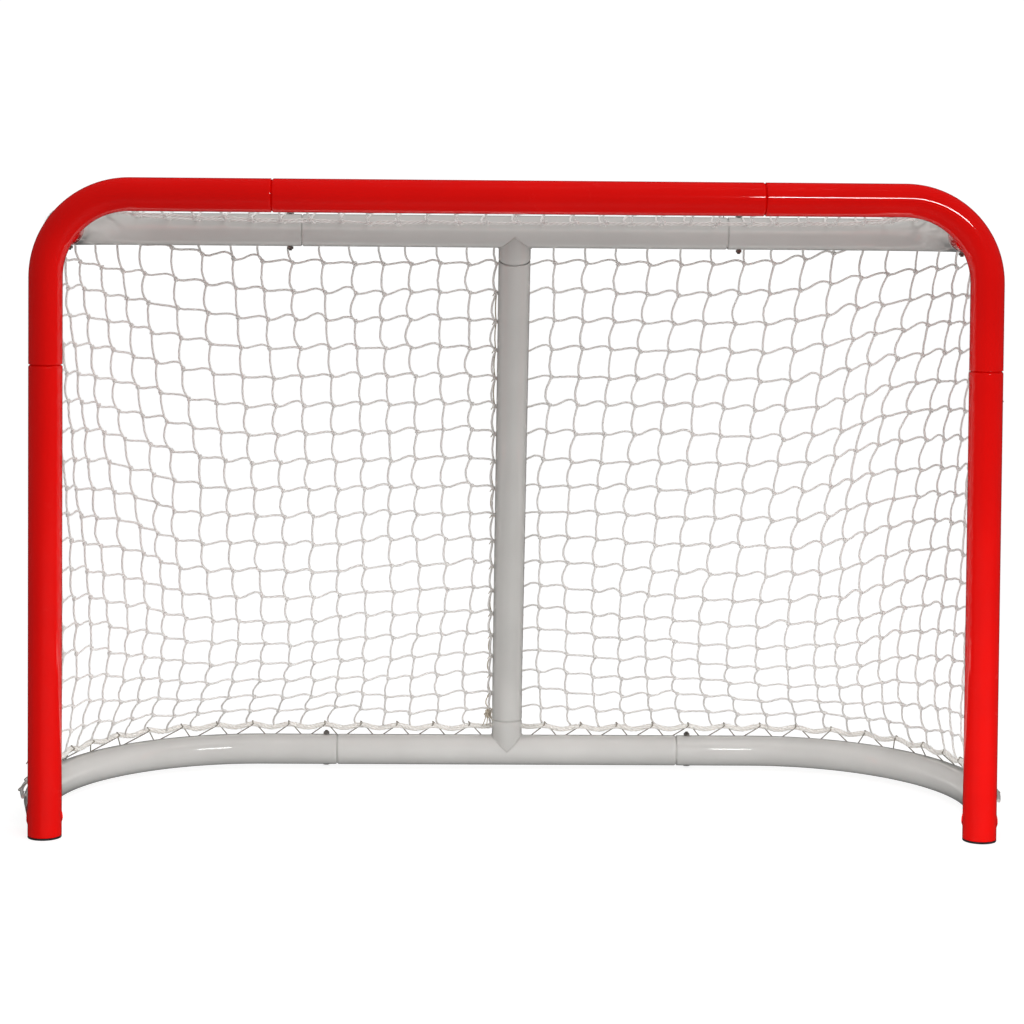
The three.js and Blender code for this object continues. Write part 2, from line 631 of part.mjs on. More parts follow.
function sideSurface(side) {
  const topR = RAIL_BEND_R + NET_CLEAR;
  const topCentre = vec(RAIL_X - RAIL_BEND_R, RAIL_Y - RAIL_BEND_R, 0);
  const lowRoute = baseRoute(1, 0, 0, 0).stations;
  const arcStart = lowRoute.length - 11;
  const lowEnd = lowRoute.at(-2);
  const lowCentre = vec(lowEnd.x, lowEnd.y - BASE_BEND_R, 0);
  const frontTop = vec(RAIL_X + NET_CLEAR, POST_FRONT_Y, 0);
  const frontLow = vec(POST_X + 24, POST_FRONT_Y, 0);
  return (across, down) => {
    const straightShare = 0.25;
    let top;
    let low;
    if (across < straightShare) {
      const t = across / straightShare;
      top = frontTop.clone().lerp(vec(frontTop.x, topCentre.y, 0), t);
      low = frontLow.clone().lerp(lowRoute[arcStart].clone().setZ(0), t);
    } else {
      const a = rad(89.6) * (across - straightShare) / (1 - straightShare);
      top = vec(topCentre.x + topR * Math.cos(a), topCentre.y + topR * Math.sin(a), 0);
      low = vec(lowCentre.x + BASE_BEND_R * Math.cos(a), lowCentre.y + BASE_BEND_R * Math.sin(a), 0);
    }
    const spot = between(top, low, down, SAG);
    spot.x *= side;
    return spot;
  };
}

const POST_FRONT_Y = 58;
const BACK_GAP = 2;           // half the slit between neighbouring net panels

// Height at which the slant and the upright of the centre post would meet without the bend.
const POST_CORNER_Z = upright + CENTRE_BEND_R * Math.tan(slant / 2);
const CORNER_ROW = (NET_TOP_Z - POST_CORNER_Z) / (NET_TOP_Z - NET_LOW_Z);
const HANGING_ROWS = [0, 0.18, 0.36, 0.52, 0.66, 0.79, CORNER_ROW, 1];

// Y of the centre post's axis at height z, with the bend taken as a plain corner.
function postY(z) {
  return z <= POST_CORNER_Z ? BASE_Y : BASE_Y - (z - POST_CORNER_Z) * Math.tan(slant);
}

function backSurface(side) {
  const topX = RAIL_X - RAIL_BEND_R - BACK_GAP;
  const lowX = baseRoute(1, 0, 0, 0).stations.at(-2).x - BACK_GAP;
  return (across, down) => {
    const inner = BACK_GAP / 2;
    const top = vec(topX + (inner - topX) * across, RAIL_Y + NET_CLEAR, 0);
    const low = vec(lowX + (inner - lowX) * across, BASE_Y, 0);
    const spot = between(top, low, down, SAG);
    const behindPost = postY(spot.z) + (NET_CLEAR + 1) / Math.cos(slant);
    const near = 1 - THREE.MathUtils.smoothstep(spot.x, 40, 240);
    const hung = spot.y;
    spot.y = hung + (Math.max(behindPost, hung) - hung) * near;
    spot.x *= side;
    return spot;
  };
}

function topSurface() {
  const width = 690;
  const frontZ = (x) => {
    const past = Math.max(0, Math.abs(x) - (POST_X - ELBOW_R));
    const axis = CROSS_Z - ELBOW_R + Math.sqrt(ELBOW_R ** 2 - past ** 2);
    return axis - 6;
  };
  const rearY = (x) => {
    const past = Math.max(0, Math.abs(x) - (RAIL_X - RAIL_BEND_R));
    return RAIL_Y - RAIL_BEND_R + Math.sqrt(RAIL_BEND_R ** 2 - past ** 2) + 12;
  };
  const rearZ = RAIL_Z + TUBE_R + GAP + BOLT_HEAD + NET_T / 2 + 0.7;
  return (across, down) => {
    const x = width * (2 * across - 1);
    return vec(x, 66 + (rearY(x) - 66) * down, frontZ(x) + (rearZ - frontZ(x)) * down);
  };
}

function makeNet() {
  addPiece('net_top', panel(topSurface(), 14, [0, 1]), TWINE);
  for (const [name, side] of both) {
    const flip = (surface) => (side < 0 ? surface : (across, down) => surface(1 - across, down));
    addPiece(`net_${name}_side`, panel(flip(sideSurface(side)), 9, HANGING_ROWS), TWINE);
    addPiece(`net_back_${name}`, panel(flip(backSurface(side)), 8, HANGING_ROWS), TWINE);
  }
}

makeFrontFrame();
makeFrontStubs();
makeRearRails();
makeBaseRails();
makeCentrePost();
makeFasteners();
makeLacingRods();
makeRopes();
makeLacing();
makeNet();

// The origin is on the floor, under the middle of the goal's bounding box.
const extent = new THREE.Box3().setFromObject(goal);
goal.position.y = -(extent.min.y + extent.max.y) / 2;

export default goal;
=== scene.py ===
"""Looks for the knock-down hockey goal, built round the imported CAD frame. Metres, +Z up, mouth towards -Y.

The tubes, stubs, caps and fasteners repeat the CAD's sizes. The net is laid knot by knot along a hanging
path, then joined by strands, and the cords are wound round the rods and the ropes.
"""
import math

import bpy
import numpy as np
from mathutils import Matrix, Vector


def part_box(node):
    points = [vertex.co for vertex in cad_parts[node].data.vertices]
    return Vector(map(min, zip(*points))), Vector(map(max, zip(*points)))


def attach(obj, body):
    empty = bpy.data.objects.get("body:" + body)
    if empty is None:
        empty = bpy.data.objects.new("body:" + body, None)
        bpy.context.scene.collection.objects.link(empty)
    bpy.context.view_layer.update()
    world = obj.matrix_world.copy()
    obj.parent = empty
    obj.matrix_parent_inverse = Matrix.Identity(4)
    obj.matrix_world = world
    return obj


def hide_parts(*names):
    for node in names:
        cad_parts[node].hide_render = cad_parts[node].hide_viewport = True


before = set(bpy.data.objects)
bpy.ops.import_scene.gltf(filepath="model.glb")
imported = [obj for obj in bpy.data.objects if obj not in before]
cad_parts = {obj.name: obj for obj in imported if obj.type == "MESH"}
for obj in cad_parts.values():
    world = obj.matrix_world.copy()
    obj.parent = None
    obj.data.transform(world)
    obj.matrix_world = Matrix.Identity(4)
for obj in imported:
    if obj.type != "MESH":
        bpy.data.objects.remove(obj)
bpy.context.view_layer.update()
random = np.random.default_rng(7)

# ---- Sizes, the same as in the CAD ----
TUBE_R = 0.0285
BORE_R = 0.0267
NECK_R = 0.0258
NECK_BORE_R = 0.024
SHOULDER = 0.004
NECK = 0.045
GAP = 0.0003
CROSS_Z = 1.0835
ELBOW_R = 0.1395
POST_SEAM_Z = 0.798
CROSS_SEAM_X = 0.414
CAP_FLANGE = 0.0035
RAIL_Z = 1.025
RAIL_X = 0.7635
RAIL_BEND_R = 0.130
RAIL_SEAM_X = 0.378
STUB_RING = 0.062
BASE_Z = TUBE_R + CAP_FLANGE
BASE_SEAM_X = 0.325
BASE_RING = 0.066
BASE_TURN = math.radians(12.5)
BASE_LEAD = 0.062
BASE_LEAD_BEND_R = 0.262
BASE_BEND_R = 0.360
CENTRE_STUB = 0.055
CENTRE_FOOT_STUB = 0.060
CENTRE_BEND_R = 0.150
BOLT_INSET = 0.020
BOLT_HEAD = 0.0032
BOLT_HEAD_LOW = 0.0010   # flat heads under the floor frame
ROD_R = 0.003
ROD_OFF = TUBE_R + 0.004 + ROD_R
PIN_R = 0.0022
PIN_SPACING = 0.150

# ---- Detail that the CAD leaves out ----
SIDES = 72               # faces round a tube
EDGE = 0.0006            # rounding of a cut tube's rim
SHOULDER_STEPS = 7
GUARD = 0.002            # extra stations this far inside each straight keep its highlights straight
BEAD_R = 0.0012          # weld beads
BEAD_SINK = 0.0008       # from the saddle line to the middle of the bead
RIPPLE = 0.0034          # from one weld ripple to the next
CAP_EDGE = 0.0009
SHANK_R = 0.003
SHANK_TAIL = 0.0075      # thread that stands out of the nut
HEAD_R = 0.0065
NUT_R = 0.005            # to the middle of a flat, and the nut's height
NUT_CORNER = 0.0058
NUT_BORE = 0.0033

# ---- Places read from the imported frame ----


def middle_of(node):
    low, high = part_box(node)
    return (low + high) / 2


POST_X, FRONT_Y = middle_of("right_foot_cap")[:2]
RAIL_Y = middle_of("middle_rear_rail").y
BASE_Y = middle_of("middle_base_rail").y
BOTH = (("left", -1), ("right", 1))

UP = np.array((0.0, 0.0, 1.0))
BACK = np.array((0.0, 1.0, 0.0))
LEVEL = np.array((1.0, 0.0, 0.0))


def vec(*numbers):
    return np.array(numbers, float)


def unit(v):
    return v / np.maximum(np.linalg.norm(v, axis=-1, keepdims=True), 1e-12)


def ease(share):
    """A smooth step from 0 to 1."""
    return share * share * (3 - 2 * share)


def run_along(points):
    """Distance from the first point to each point of a line."""
    return np.concatenate([[0], np.cumsum(np.linalg.norm(np.diff(points, axis=0), axis=1))])


def interpolate(at, run, points):
    return np.stack([np.interp(at, run, column) for column in points.T], -1)


# ---- Camera ----
CAMERA_PLACE = (-0.1081, FRONT_Y - 4.1, 1.041)
CAMERA_YAW, CAMERA_PITCH, CAMERA_ROLL = map(math.radians, (1.003, 2.0, 0.466))
LENS, SHIFT_X, SHIFT_Y = 85.957, 0.01533, -0.19922


def make_camera():
    data = bpy.data.cameras.new("camera")
    data.sensor_width = 36
    data.lens, data.shift_x, data.shift_y = LENS, SHIFT_X, SHIFT_Y
    data.clip_end = 100
    camera = bpy.data.objects.new("camera", data)
    bpy.context.scene.collection.objects.link(camera)
    # Level and looking back first, then rolled, pitched down and turned to the right.
    turn = Matrix.Rotation(-CAMERA_YAW, 4, "Z") @ Matrix.Rotation(math.pi / 2 - CAMERA_PITCH, 4, "X")
    camera.matrix_world = Matrix.Translation(CAMERA_PLACE) @ turn @ Matrix.Rotation(CAMERA_ROLL, 4, "Z")
    bpy.context.scene.camera = camera
    bpy.context.scene.view_settings.view_transform = "Standard"


# ---- Node materials ----
def join(tree, socket, value):
    """Links an output to a socket, or sets the socket to a plain value."""
    if hasattr(value, "links"):
        tree.links.new(value, socket)
    else:
        socket.default_value = value


class Nodes:
    """Short calls for building one material's nodes."""

    def __init__(self, name):
        self.material = bpy.data.materials.new(name)
        self.material.use_nodes = True
        self.tree = self.material.node_tree
        self.shader = self.tree.nodes["Principled BSDF"]

    def fill(self, node, inputs):
        for key, value in inputs.items():
            join(self.tree, node.inputs[key.replace("_", " ")], value)
        return node

    def add(self, kind, **inputs):
        return self.fill(self.tree.nodes.new(kind), inputs)

    def noise(self, scale, detail=3.0, roughness=0.5):
        place = self.add("ShaderNodeTexCoord").outputs["Object"]
        node = self.add("ShaderNodeTexNoise", Vector=place, Scale=scale, Detail=detail, Roughness=roughness)
        return node.outputs["Fac"]

    def ramp(self, value, *stops):
        node = self.add("ShaderNodeValToRGB", Fac=value)
        elements = node.color_ramp.elements
        while len(elements) < len(stops):
            elements.new(0.5)
        for element, (position, colour) in zip(elements, stops):
            element.position, element.color = position, colour
        return node.outputs["Color"]

    def span(self, value, low, high, to_low, to_high):
        return self.add("ShaderNodeMapRange", Value=value, From_Min=low, From_Max=high,
                        To_Min=to_low, To_Max=to_high).outputs["Result"]

    def math(self, operation, *values):
        node = self.tree.nodes.new("ShaderNodeMath")
        node.operation = operation
        for socket, value in zip(node.inputs, values):
            join(self.tree, socket, value)
        return node.outputs[0]

    def mix(self, share, first, second):
        node = self.tree.nodes.new("ShaderNodeMix")
        node.data_type = "RGBA"
        for index, value in ((0, share), (6, first), (7, second)):
            join(self.tree, node.inputs[index], value)
        return node.outputs[2]

    def bump(self, height, strength, distance, **normal):
        node = self.add("ShaderNodeBump", Height=height, Strength=strength, Distance=distance, **normal)
        return node.outputs["Normal"]

    def set(self, **inputs):
        self.fill(self.shader, inputs)
        return self.material


def powder_coat(name, colour, darker, roughness, specular):
    """Glossy powder coat: orange peel, faint mottling, and a few dull rubs."""
    n = Nodes(name)
    tint = n.mix(n.span(n.noise(9.0, 4.0), 0.35, 0.7, 0.0, 1.0), darker, colour)
    tint = n.mix(n.span(n.noise(60.0, 6.0, 0.65), 0.62, 0.8, 0.0, 0.18), tint, darker)
    rub = n.span(n.noise(22.0, 5.0, 0.6), 0.45, 0.75, roughness, roughness + 0.10)
    peel = n.bump(n.noise(420.0, 1.0), 0.035, 0.0006)
    wave = n.bump(n.noise(60.0, 1.0), 0.03, 0.0012, Normal=peel)
    return n.set(Base_Color=tint, Roughness=rub, Normal=wave, Specular_IOR_Level=specular,
                 Coat_Weight=0.95, Coat_Roughness=0.035, Coat_IOR=2.1)


def zinc(name):
    n = Nodes(name)
    stain = n.noise(260.0, 5.0, 0.6)
    dark, middle, light = (0.22, 0.20, 0.18, 1), (0.42, 0.40, 0.37, 1), (0.62, 0.60, 0.56, 1)
    tint = n.ramp(stain, (0.3, dark), (0.55, middle), (0.8, light))
    grain = n.bump(n.noise(900.0, 3.0), 0.2, 0.0004)
    return n.set(Base_Color=tint, Metallic=0.9, Roughness=n.span(stain, 0.3, 0.8, 0.5, 0.28), Normal=grain)


def cap_plastic(name):
    n = Nodes(name)
    worn = n.noise(90.0, 5.0, 0.6)
    tint = n.ramp(worn, (0.35, (0.012, 0.012, 0.013, 1)), (0.75, (0.035, 0.035, 0.036, 1)))
    grain = n.bump(n.noise(1400.0, 2.0), 0.25, 0.0003)
    return n.set(Base_Color=tint, Roughness=n.span(worn, 0.3, 0.8, 0.45, 0.7), Normal=grain)


def twine(name, dark, light, pitch, depth, fuzz_scale, plies=3):
    """Twisted fibre: the plies follow the strand attribute (cos, sin, distance) left by the tube maker."""
    n = Nodes(name)
    strand = n.tree.nodes.new("ShaderNodeAttribute")
    strand.attribute_name = "strand"
    parts = n.add("ShaderNodeSeparateXYZ", Vector=strand.outputs["Vector"]).outputs
    around = n.math("ARCTAN2", parts["Y"], parts["X"])
    along = n.math("MULTIPLY", parts["Z"], 2 * math.pi / pitch)
    turns = n.math("ADD", n.math("MULTIPLY", around, plies), along)
    ply = n.math("MULTIPLY_ADD", n.math("SINE", turns), 0.5, 0.5)
    fibre = n.noise(fuzz_scale, 4.0, 0.7)
    # Painted shade: the colour darkens in the grooves between the plies and is lightest on their crowns; the
    # fibre flecks and patches below are the twine's own tone.
    tint = n.mix(n.span(ply, 0.0, 0.55, 0.0, 1.0), dark, light)
    tint = n.mix(n.span(fibre, 0.45, 0.75, 0.0, 0.35), tint, dark)
    tint = n.mix(n.span(n.noise(14.0, 3.0), 0.4, 0.8, 0.0, 0.22), tint, dark)
    height = n.bump(fibre, 0.5, depth * 0.5, Normal=n.bump(ply, 0.8, depth))
    return n.set(Base_Color=tint, Roughness=0.9, Normal=height, Sheen_Weight=0.5, Sheen_Roughness=0.5)


def floor_material(name):
    n = Nodes(name)
    shade = n.ramp(n.noise(0.6, 2.0), (0.3, (0.35, 0.35, 0.35, 1)), (0.7, (0.37, 0.37, 0.37, 1)))
    return n.set(Base_Color=shade, Roughness=0.7, Specular_IOR_Level=0.1,
                 Emission_Color=(1, 1, 1, 1), Emission_Strength=0.80)


RED = powder_coat("red_coat", (0.95, 0.0022, 0.0006, 1), (0.90, 0.0019, 0.0005, 1), 0.20, 0.05)
WHITE = powder_coat("white_coat", (0.745, 0.735, 0.708, 1), (0.70, 0.69, 0.665, 1), 0.28, 0.30)
# Painted shade: a darker copy of the white paint for the centre post and its stubs, in place of shade that
# the lamps don't give; the real post has the same white paint as the rails.
POST_WHITE_PAINTED_SHADE = powder_coat("post_white_coat_painted_shade", (0.66, 0.65, 0.623, 1), (0.622, 0.612, 0.586, 1), 0.28, 0.30)
STEEL = zinc("zinc")
BLACK = cap_plastic("cap_plastic")
TWINE = twine("net_twine", (0.70, 0.665, 0.63, 1), (0.93, 0.91, 0.885, 1), 0.011, 0.0006, 1500.0)
ROPE = twine("border_rope", (0.82, 0.78, 0.72, 1), (0.95, 0.93, 0.89, 1), 0.022, 0.0008, 1100.0)
CORD = twine("lacing_cord", (0.18, 0.16, 0.13, 1), (0.42, 0.38, 0.32, 1), 0.007, 0.0005, 1800.0)
PALE_CORD = twine("pale_cord", (0.38, 0.31, 0.22, 1), (0.70, 0.62, 0.50, 1), 0.008, 0.0005, 1800.0)
TAN_CORD = twine("tan_cord", (0.16, 0.11, 0.06, 1), (0.46, 0.37, 0.26, 1), 0.008, 0.0005, 1800.0)


# ---- Mesh making ----
class Soup:
    """Collects surfaces, then turns them into one piece of the goal."""

    def __init__(self):
        self.points, self.faces, self.strands, self.count = [], [], [], 0

    def add(self, points, faces, strand=None):
        self.points.append(points.reshape(-1, 3))
        self.faces.append(faces + self.count)
        size = len(self.points[-1])
        self.strands.append(np.zeros((size, 3)) if strand is None else strand.reshape(-1, 3))
        self.count += size

    def piece(self, name, material, sharp=40, in_cad=True):
        """The object, smooth but for edges over sharp degrees, in place of its CAD node where it has one."""
        mesh = bpy.data.meshes.new(name)
        faces = [face for block in self.faces for face in block.tolist()]
        mesh.from_pydata(np.concatenate(self.points).tolist(), [], faces)
        attribute = mesh.attributes.new("strand", "FLOAT_VECTOR", "POINT")
        attribute.data.foreach_set("vector", np.concatenate(self.strands).astype(np.float32).ravel())
        mesh.shade_smooth()
        if sharp:
            mesh.set_sharp_from_angle(angle=math.radians(sharp))
        mesh.materials.append(material)
        made = bpy.data.objects.new(name, mesh)
        bpy.context.scene.collection.objects.link(made)
        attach(made, "root")
        if in_cad:
            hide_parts(name)


def carried_sides(tangents, first):
    """A side vector carried along each line without twist. tangents is (lines, stations, 3)."""
    sides = np.empty_like(tangents)
    side = np.broadcast_to(first, tangents[:, 0].shape).copy()
    for k in range(tangents.shape[1]):
        t = tangents[:, k]
        side = unit(side - t * np.sum(side * t, axis=-1, keepdims=True))
        sides[:, k] = side
    return sides


def add_tubes(soup, lines, radii, sides=6, phase=None):
    """Closed round tubes along one line or many. lines is (lines, stations, 3)."""
    lines = np.asarray(lines, float)
    if lines.ndim == 2:
        lines = lines[None]
    count, stations = lines.shape[:2]
    tangents = unit(np.gradient(lines, axis=1))
    first = np.where(np.abs(tangents[:, 0, 2:3]) < 0.8, UP, LEVEL)
    side = carried_sides(tangents, first)
    other = np.cross(tangents, side)
    angles = 2 * np.pi * np.arange(sides) / sides
    radii = np.broadcast_to(np.asarray(radii, float), (count, stations))
    cos, sin = np.cos(angles), np.sin(angles)
    rings = lines[:, :, None] + radii[:, :, None, None] * (
        side[:, :, None] * cos[:, None] + other[:, :, None] * sin[:, None]
    )
    steps = np.linalg.norm(np.diff(lines, axis=1), axis=-1)
    run = np.concatenate([np.zeros((count, 1)), np.cumsum(steps, axis=1)], axis=1)
    if phase is not None:
        run = run + phase[:, None]
    strand = np.empty(rings.shape)
    strand[..., 0], strand[..., 1], strand[..., 2] = cos, sin, run[:, :, None]
    index = np.arange(count * stations * sides).reshape(count, stations, sides)
    a, b = index[:, :-1], index[:, 1:]
    faces = np.stack([a, np.roll(a, -1, 2), np.roll(b, -1, 2), b], -1).reshape(-1, 4)
    before = soup.count
    soup.add(rings, faces, strand)
    soup.faces += [index[:, 0, ::-1] + before, index[:, -1] + before]


def ring(centre, tangent, radius, side, sides=SIDES):
    other = np.cross(tangent, side)
    angles = 2 * np.pi * np.arange(sides)[:, None] / sides
    return centre + radius * (np.cos(angles) * side + np.sin(angles) * other)


def add_rings(soup, rings, loop=False, cap_first=False, cap_last=False):
    """A skin over rings of equal size, in order."""
    rings = np.asarray(rings)
    count, sides = rings.shape[:2]
    index = np.arange(count * sides).reshape(count, sides)
    a = index if loop else index[:-1]
    b = np.roll(index, -1, 0) if loop else index[1:]
    faces = np.stack([a, np.roll(a, -1, 1), np.roll(b, -1, 1), b], -1).reshape(-1, 4)
    before = soup.count
    soup.add(rings, faces)
    if cap_first:
        soup.faces.append(index[:1, ::-1] + before)
    if cap_last:
        soup.faces.append(index[-1:] + before)


def turned(soup, profile, start, way, sides):
    """Rings turned from (radius, distance) pairs; a zero radius at either end closes the skin."""
    way = unit(np.array(way, float))
    side = BACK if abs(LEVEL @ way) > 0.9 else LEVEL
    side = unit(side - way * (side @ way))
    rings = [ring(start + way * s, way, max(r, 1e-5), side, sides) for r, s in profile]
    add_rings(soup, rings, cap_first=profile[0][0] == 0, cap_last=profile[-1][0] == 0)


class Route:
    """Straight runs and bends, with many stations on the bends."""

    def __init__(self, start, heading):
        self.points = [np.array(start, float)]
        self.headings = [unit(np.array(heading, float))]

    def straight(self, length, steps=1):
        for _ in range(steps):
            self.points.append(self.points[-1] + self.headings[-1] * length / steps)
            self.headings.append(self.headings[-1])
        return self

    def bend(self, radius, angle, axis):
        steps = max(6, int(math.degrees(angle) / 2.2))
        start, heading = self.points[-1], self.headings[-1]
        inward = unit(np.cross(axis, heading))
        for k in range(1, steps + 1):
            turn = np.array(Matrix.Rotation(angle * k / steps, 3, Vector(axis)))
            self.points.append(start + inward * radius + turn @ (-inward * radius))
            self.headings.append(turn @ heading)
        return self


# ---- Tubes ----
def tube_end(seam, outward, way, neck):
    """Stations (place, way, radius, bore) from a tube's very end inwards: a rounded rim, or a neck."""
    if neck:
        profile = [(NECK, NECK_R - EDGE, NECK_BORE_R), (NECK - EDGE, NECK_R, NECK_BORE_R)]
        for k in range(SHOULDER_STEPS + 1):
            share = k / SHOULDER_STEPS
            radius = NECK_R + (TUBE_R - NECK_R) * ease(share)
            profile.append((-SHOULDER * share, radius, NECK_BORE_R + (BORE_R - NECK_BORE_R) * ease(share)))
    else:
        profile = [
            (0, TUBE_R - EDGE, BORE_R + EDGE * 0.5), (-EDGE * 0.4, TUBE_R - EDGE * 0.3, BORE_R),
            (-EDGE, TUBE_R, BORE_R),
        ]
    return [(seam + outward * out, way, radius, bore) for out, radius, bore in profile]


def with_guards(stations):
    """The stations, with one more just inside each end of every long straight."""
    guarded = [stations[0]]
    for before, after in zip(stations, stations[1:]):
        (place, way, *sizes), (next_place, next_way, *next_sizes) = before, after
        if np.linalg.norm(next_place - place) > 8 * GUARD and way @ next_way > 0.99999:
            guarded.append((place + way * GUARD, way, *sizes))
            guarded.append((next_place - way * GUARD, way, *next_sizes))
        guarded.append(after)
    return guarded


def tube_piece(name, material, route, neck_at_start=False, neck_at_end=False, first=None):
    """A hollow tube along a route, swaged to a neck at either end when asked for."""
    points, headings = route.points, route.headings
    stations = tube_end(points[0], -headings[0], headings[0], neck_at_start)
    stations += [(point, heading, TUBE_R, BORE_R) for point, heading in zip(points[1:-1], headings[1:-1])]
    stations += tube_end(points[-1], headings[-1], headings[-1], neck_at_end)[::-1]
    stations = with_guards(stations)
    tangents = np.array([s[1] for s in stations])[None]
    if first is None:
        first = UP if abs(tangents[0, 0, 2]) < 0.8 else LEVEL
    sides = carried_sides(tangents, first)[0]
    outer = [ring(p, t, r, s) for (p, t, r, _), s in zip(stations, sides)]
    inner = [ring(p, t, r, s) for (p, t, _, r), s in zip(stations, sides)]
    soup = Soup()
    add_rings(soup, outer + inner[::-1], loop=True)
    soup.piece(name, material)


def elbow_route(side):
    route = Route((side * POST_X, FRONT_Y, POST_SEAM_Z + GAP), UP)
    route.straight(CROSS_Z - ELBOW_R - POST_SEAM_Z - GAP)
    route.bend(ELBOW_R, math.pi / 2, (0, -side, 0))
    return route.straight(POST_X - ELBOW_R - CROSS_SEAM_X - GAP)


def rail_route(side):
    route = Route((side * RAIL_X, FRONT_Y + STUB_RING + GAP, RAIL_Z), BACK)
    route.straight(RAIL_Y - FRONT_Y - RAIL_BEND_R - STUB_RING - GAP)
    route.bend(RAIL_BEND_R, math.pi / 2, (0, 0, side))
    return route.straight(RAIL_X - RAIL_BEND_R - RAIL_SEAM_X - GAP)


def base_heading(side):
    return vec(side * math.sin(BASE_TURN), math.cos(BASE_TURN), 0)


def base_route(side, outward=0.0, lift=0.0, lead=GAP):
    """The floor frame's arm and corner, or a line beside it for its lacing rod."""
    heading = base_heading(side)
    foot = vec(side * POST_X, FRONT_Y, BASE_Z)
    start = foot + heading * (BASE_RING + lead)
    start = start + vec(side * heading[1] * outward, -side * heading[0] * outward, lift)
    lead_end = foot + heading * (BASE_RING + BASE_LEAD)
    run = BASE_Y - BASE_BEND_R - lead_end[1] - BASE_LEAD_BEND_R * math.sin(BASE_TURN)
    widest = abs(lead_end[0]) + BASE_LEAD_BEND_R * (1 - math.cos(BASE_TURN))
    route = Route(start, heading)
    route.straight(BASE_LEAD - lead)
    route.bend(BASE_LEAD_BEND_R + outward, BASE_TURN, (0, 0, side))
    route.straight(run)
    route.bend(BASE_BEND_R + outward, math.pi / 2, (0, 0, side))
    return route.straight(widest - BASE_BEND_R - BASE_SEAM_X - GAP)


# The centre post: upright from its foot, then a bend, then a slant to the rear rail.
UPRIGHT = BASE_Z + CENTRE_FOOT_STUB + NECK + 0.003
reach_y = BASE_Y - CENTRE_BEND_R - RAIL_Y
reach_z = RAIL_Z - UPRIGHT
SLANT = math.asin(CENTRE_BEND_R / math.hypot(reach_y, reach_z)) + math.atan(reach_y / reach_z)
SLANT_UP = vec(0, -math.sin(SLANT), math.cos(SLANT))
POST_CORNER_Z = UPRIGHT + CENTRE_BEND_R * math.tan(SLANT / 2)


def post_y(z):
    return np.where(z <= POST_CORNER_Z, BASE_Y, BASE_Y - (z - POST_CORNER_Z) * math.tan(SLANT))


def centre_route():
    route = Route((0, BASE_Y, BASE_Z + CENTRE_FOOT_STUB + GAP), UP)
    route.straight(UPRIGHT - BASE_Z - CENTRE_FOOT_STUB - GAP)
    route.bend(CENTRE_BEND_R, SLANT, LEVEL)
    top = vec(0, RAIL_Y, RAIL_Z)
    return route.straight(np.linalg.norm(top - route.points[-1]) - CENTRE_STUB - GAP)


def make_tubes():
    foot = CAP_FLANGE + GAP
    for name, side in BOTH:
        post = Route((side * POST_X, FRONT_Y, foot), UP).straight(POST_SEAM_Z - foot, 3)
        tube_piece(f"{name}_post", RED, post, neck_at_end=True)
        tube_piece(f"{name}_elbow", RED, elbow_route(side), first=BACK)
        tube_piece(f"{name}_rear_rail", WHITE, rail_route(side))
        tube_piece(f"{name}_base_rail", WHITE, base_route(side))
    for name, y, z, seam, material in (
        ("crossbar", FRONT_Y, CROSS_Z, CROSS_SEAM_X, RED),
        ("middle_rear_rail", RAIL_Y, RAIL_Z, RAIL_SEAM_X, WHITE),
        ("middle_base_rail", BASE_Y, BASE_Z, BASE_SEAM_X, WHITE),
    ):
        bar = Route((-seam, y, z), LEVEL).straight(2 * seam, 3)
        tube_piece(name, material, bar, neck_at_start=True, neck_at_end=True)
    # The centre post wears the darker copy of the white paint: painted shade.
    tube_piece("centre_post", POST_WHITE_PAINTED_SHADE, centre_route(), first=LEVEL)


# ---- Welded stubs and their beads ----
def nearest_on(line, points):
    """The nearest place on a polyline to each point."""
    a, b = line[:-1], line[1:]
    step = b - a
    share = np.sum((points[:, None] - a) * step, -1) / np.sum(step * step, -1)
    places = a + np.clip(share, 0, 1)[..., None] * step
    nearest = np.linalg.norm(points[:, None] - places, axis=-1).argmin(1)
    return places[np.arange(len(points)), nearest]


def saddle(start, heading, side, parent, reach, sides):
    """The stub's ring at its start, and how far along the stub each point of it leaves the parent tube."""
    foot = ring(start, heading, TUBE_R, side, sides)
    low, high = np.zeros((sides, 1)), np.full((sides, 1), reach)
    for _ in range(40):
        middle = (low + high) / 2
        tried = foot + heading * middle
        inside = np.linalg.norm(tried - nearest_on(parent, tried), axis=1)[:, None] < TUBE_R
        low, high = np.where(inside, middle, low), np.where(inside, high, middle)
    return foot, low


def stub_piece(name, material, start, heading, reach, parent, side):
    """A short tube welded to a parent tube: its skin starts at the saddle line, with a bead on it."""
    heading = unit(np.array(heading, float))
    side = unit(side - heading * (side @ heading))
    foot, rise = saddle(start, heading, side, parent, reach, SIDES)
    sunk = foot + heading * (rise - 0.001)
    end = start + heading * (reach + NECK)
    rings = [sunk]
    rings += [foot + heading * (rise + (reach - SHOULDER - rise) * share) for share in (0.35, 0.7, 1.0)]
    neck = tube_end(start + heading * reach, heading, heading, True)[::-1]
    rings += [ring(place, way, radius, side) for place, way, radius, _ in neck[1:]]
    rings.append(ring(end, heading, NECK_BORE_R, side))
    rings.append(ring(start + heading * reach * 0.8, heading, NECK_BORE_R, side))
    rings.append(sunk - unit(foot - start) * (TUBE_R - NECK_BORE_R))
    soup = Soup()
    add_rings(soup, rings, loop=True)
    soup.piece(name, material)
    add_bead(name, material, start, heading, saddle(start, heading, side, parent, reach, 360))


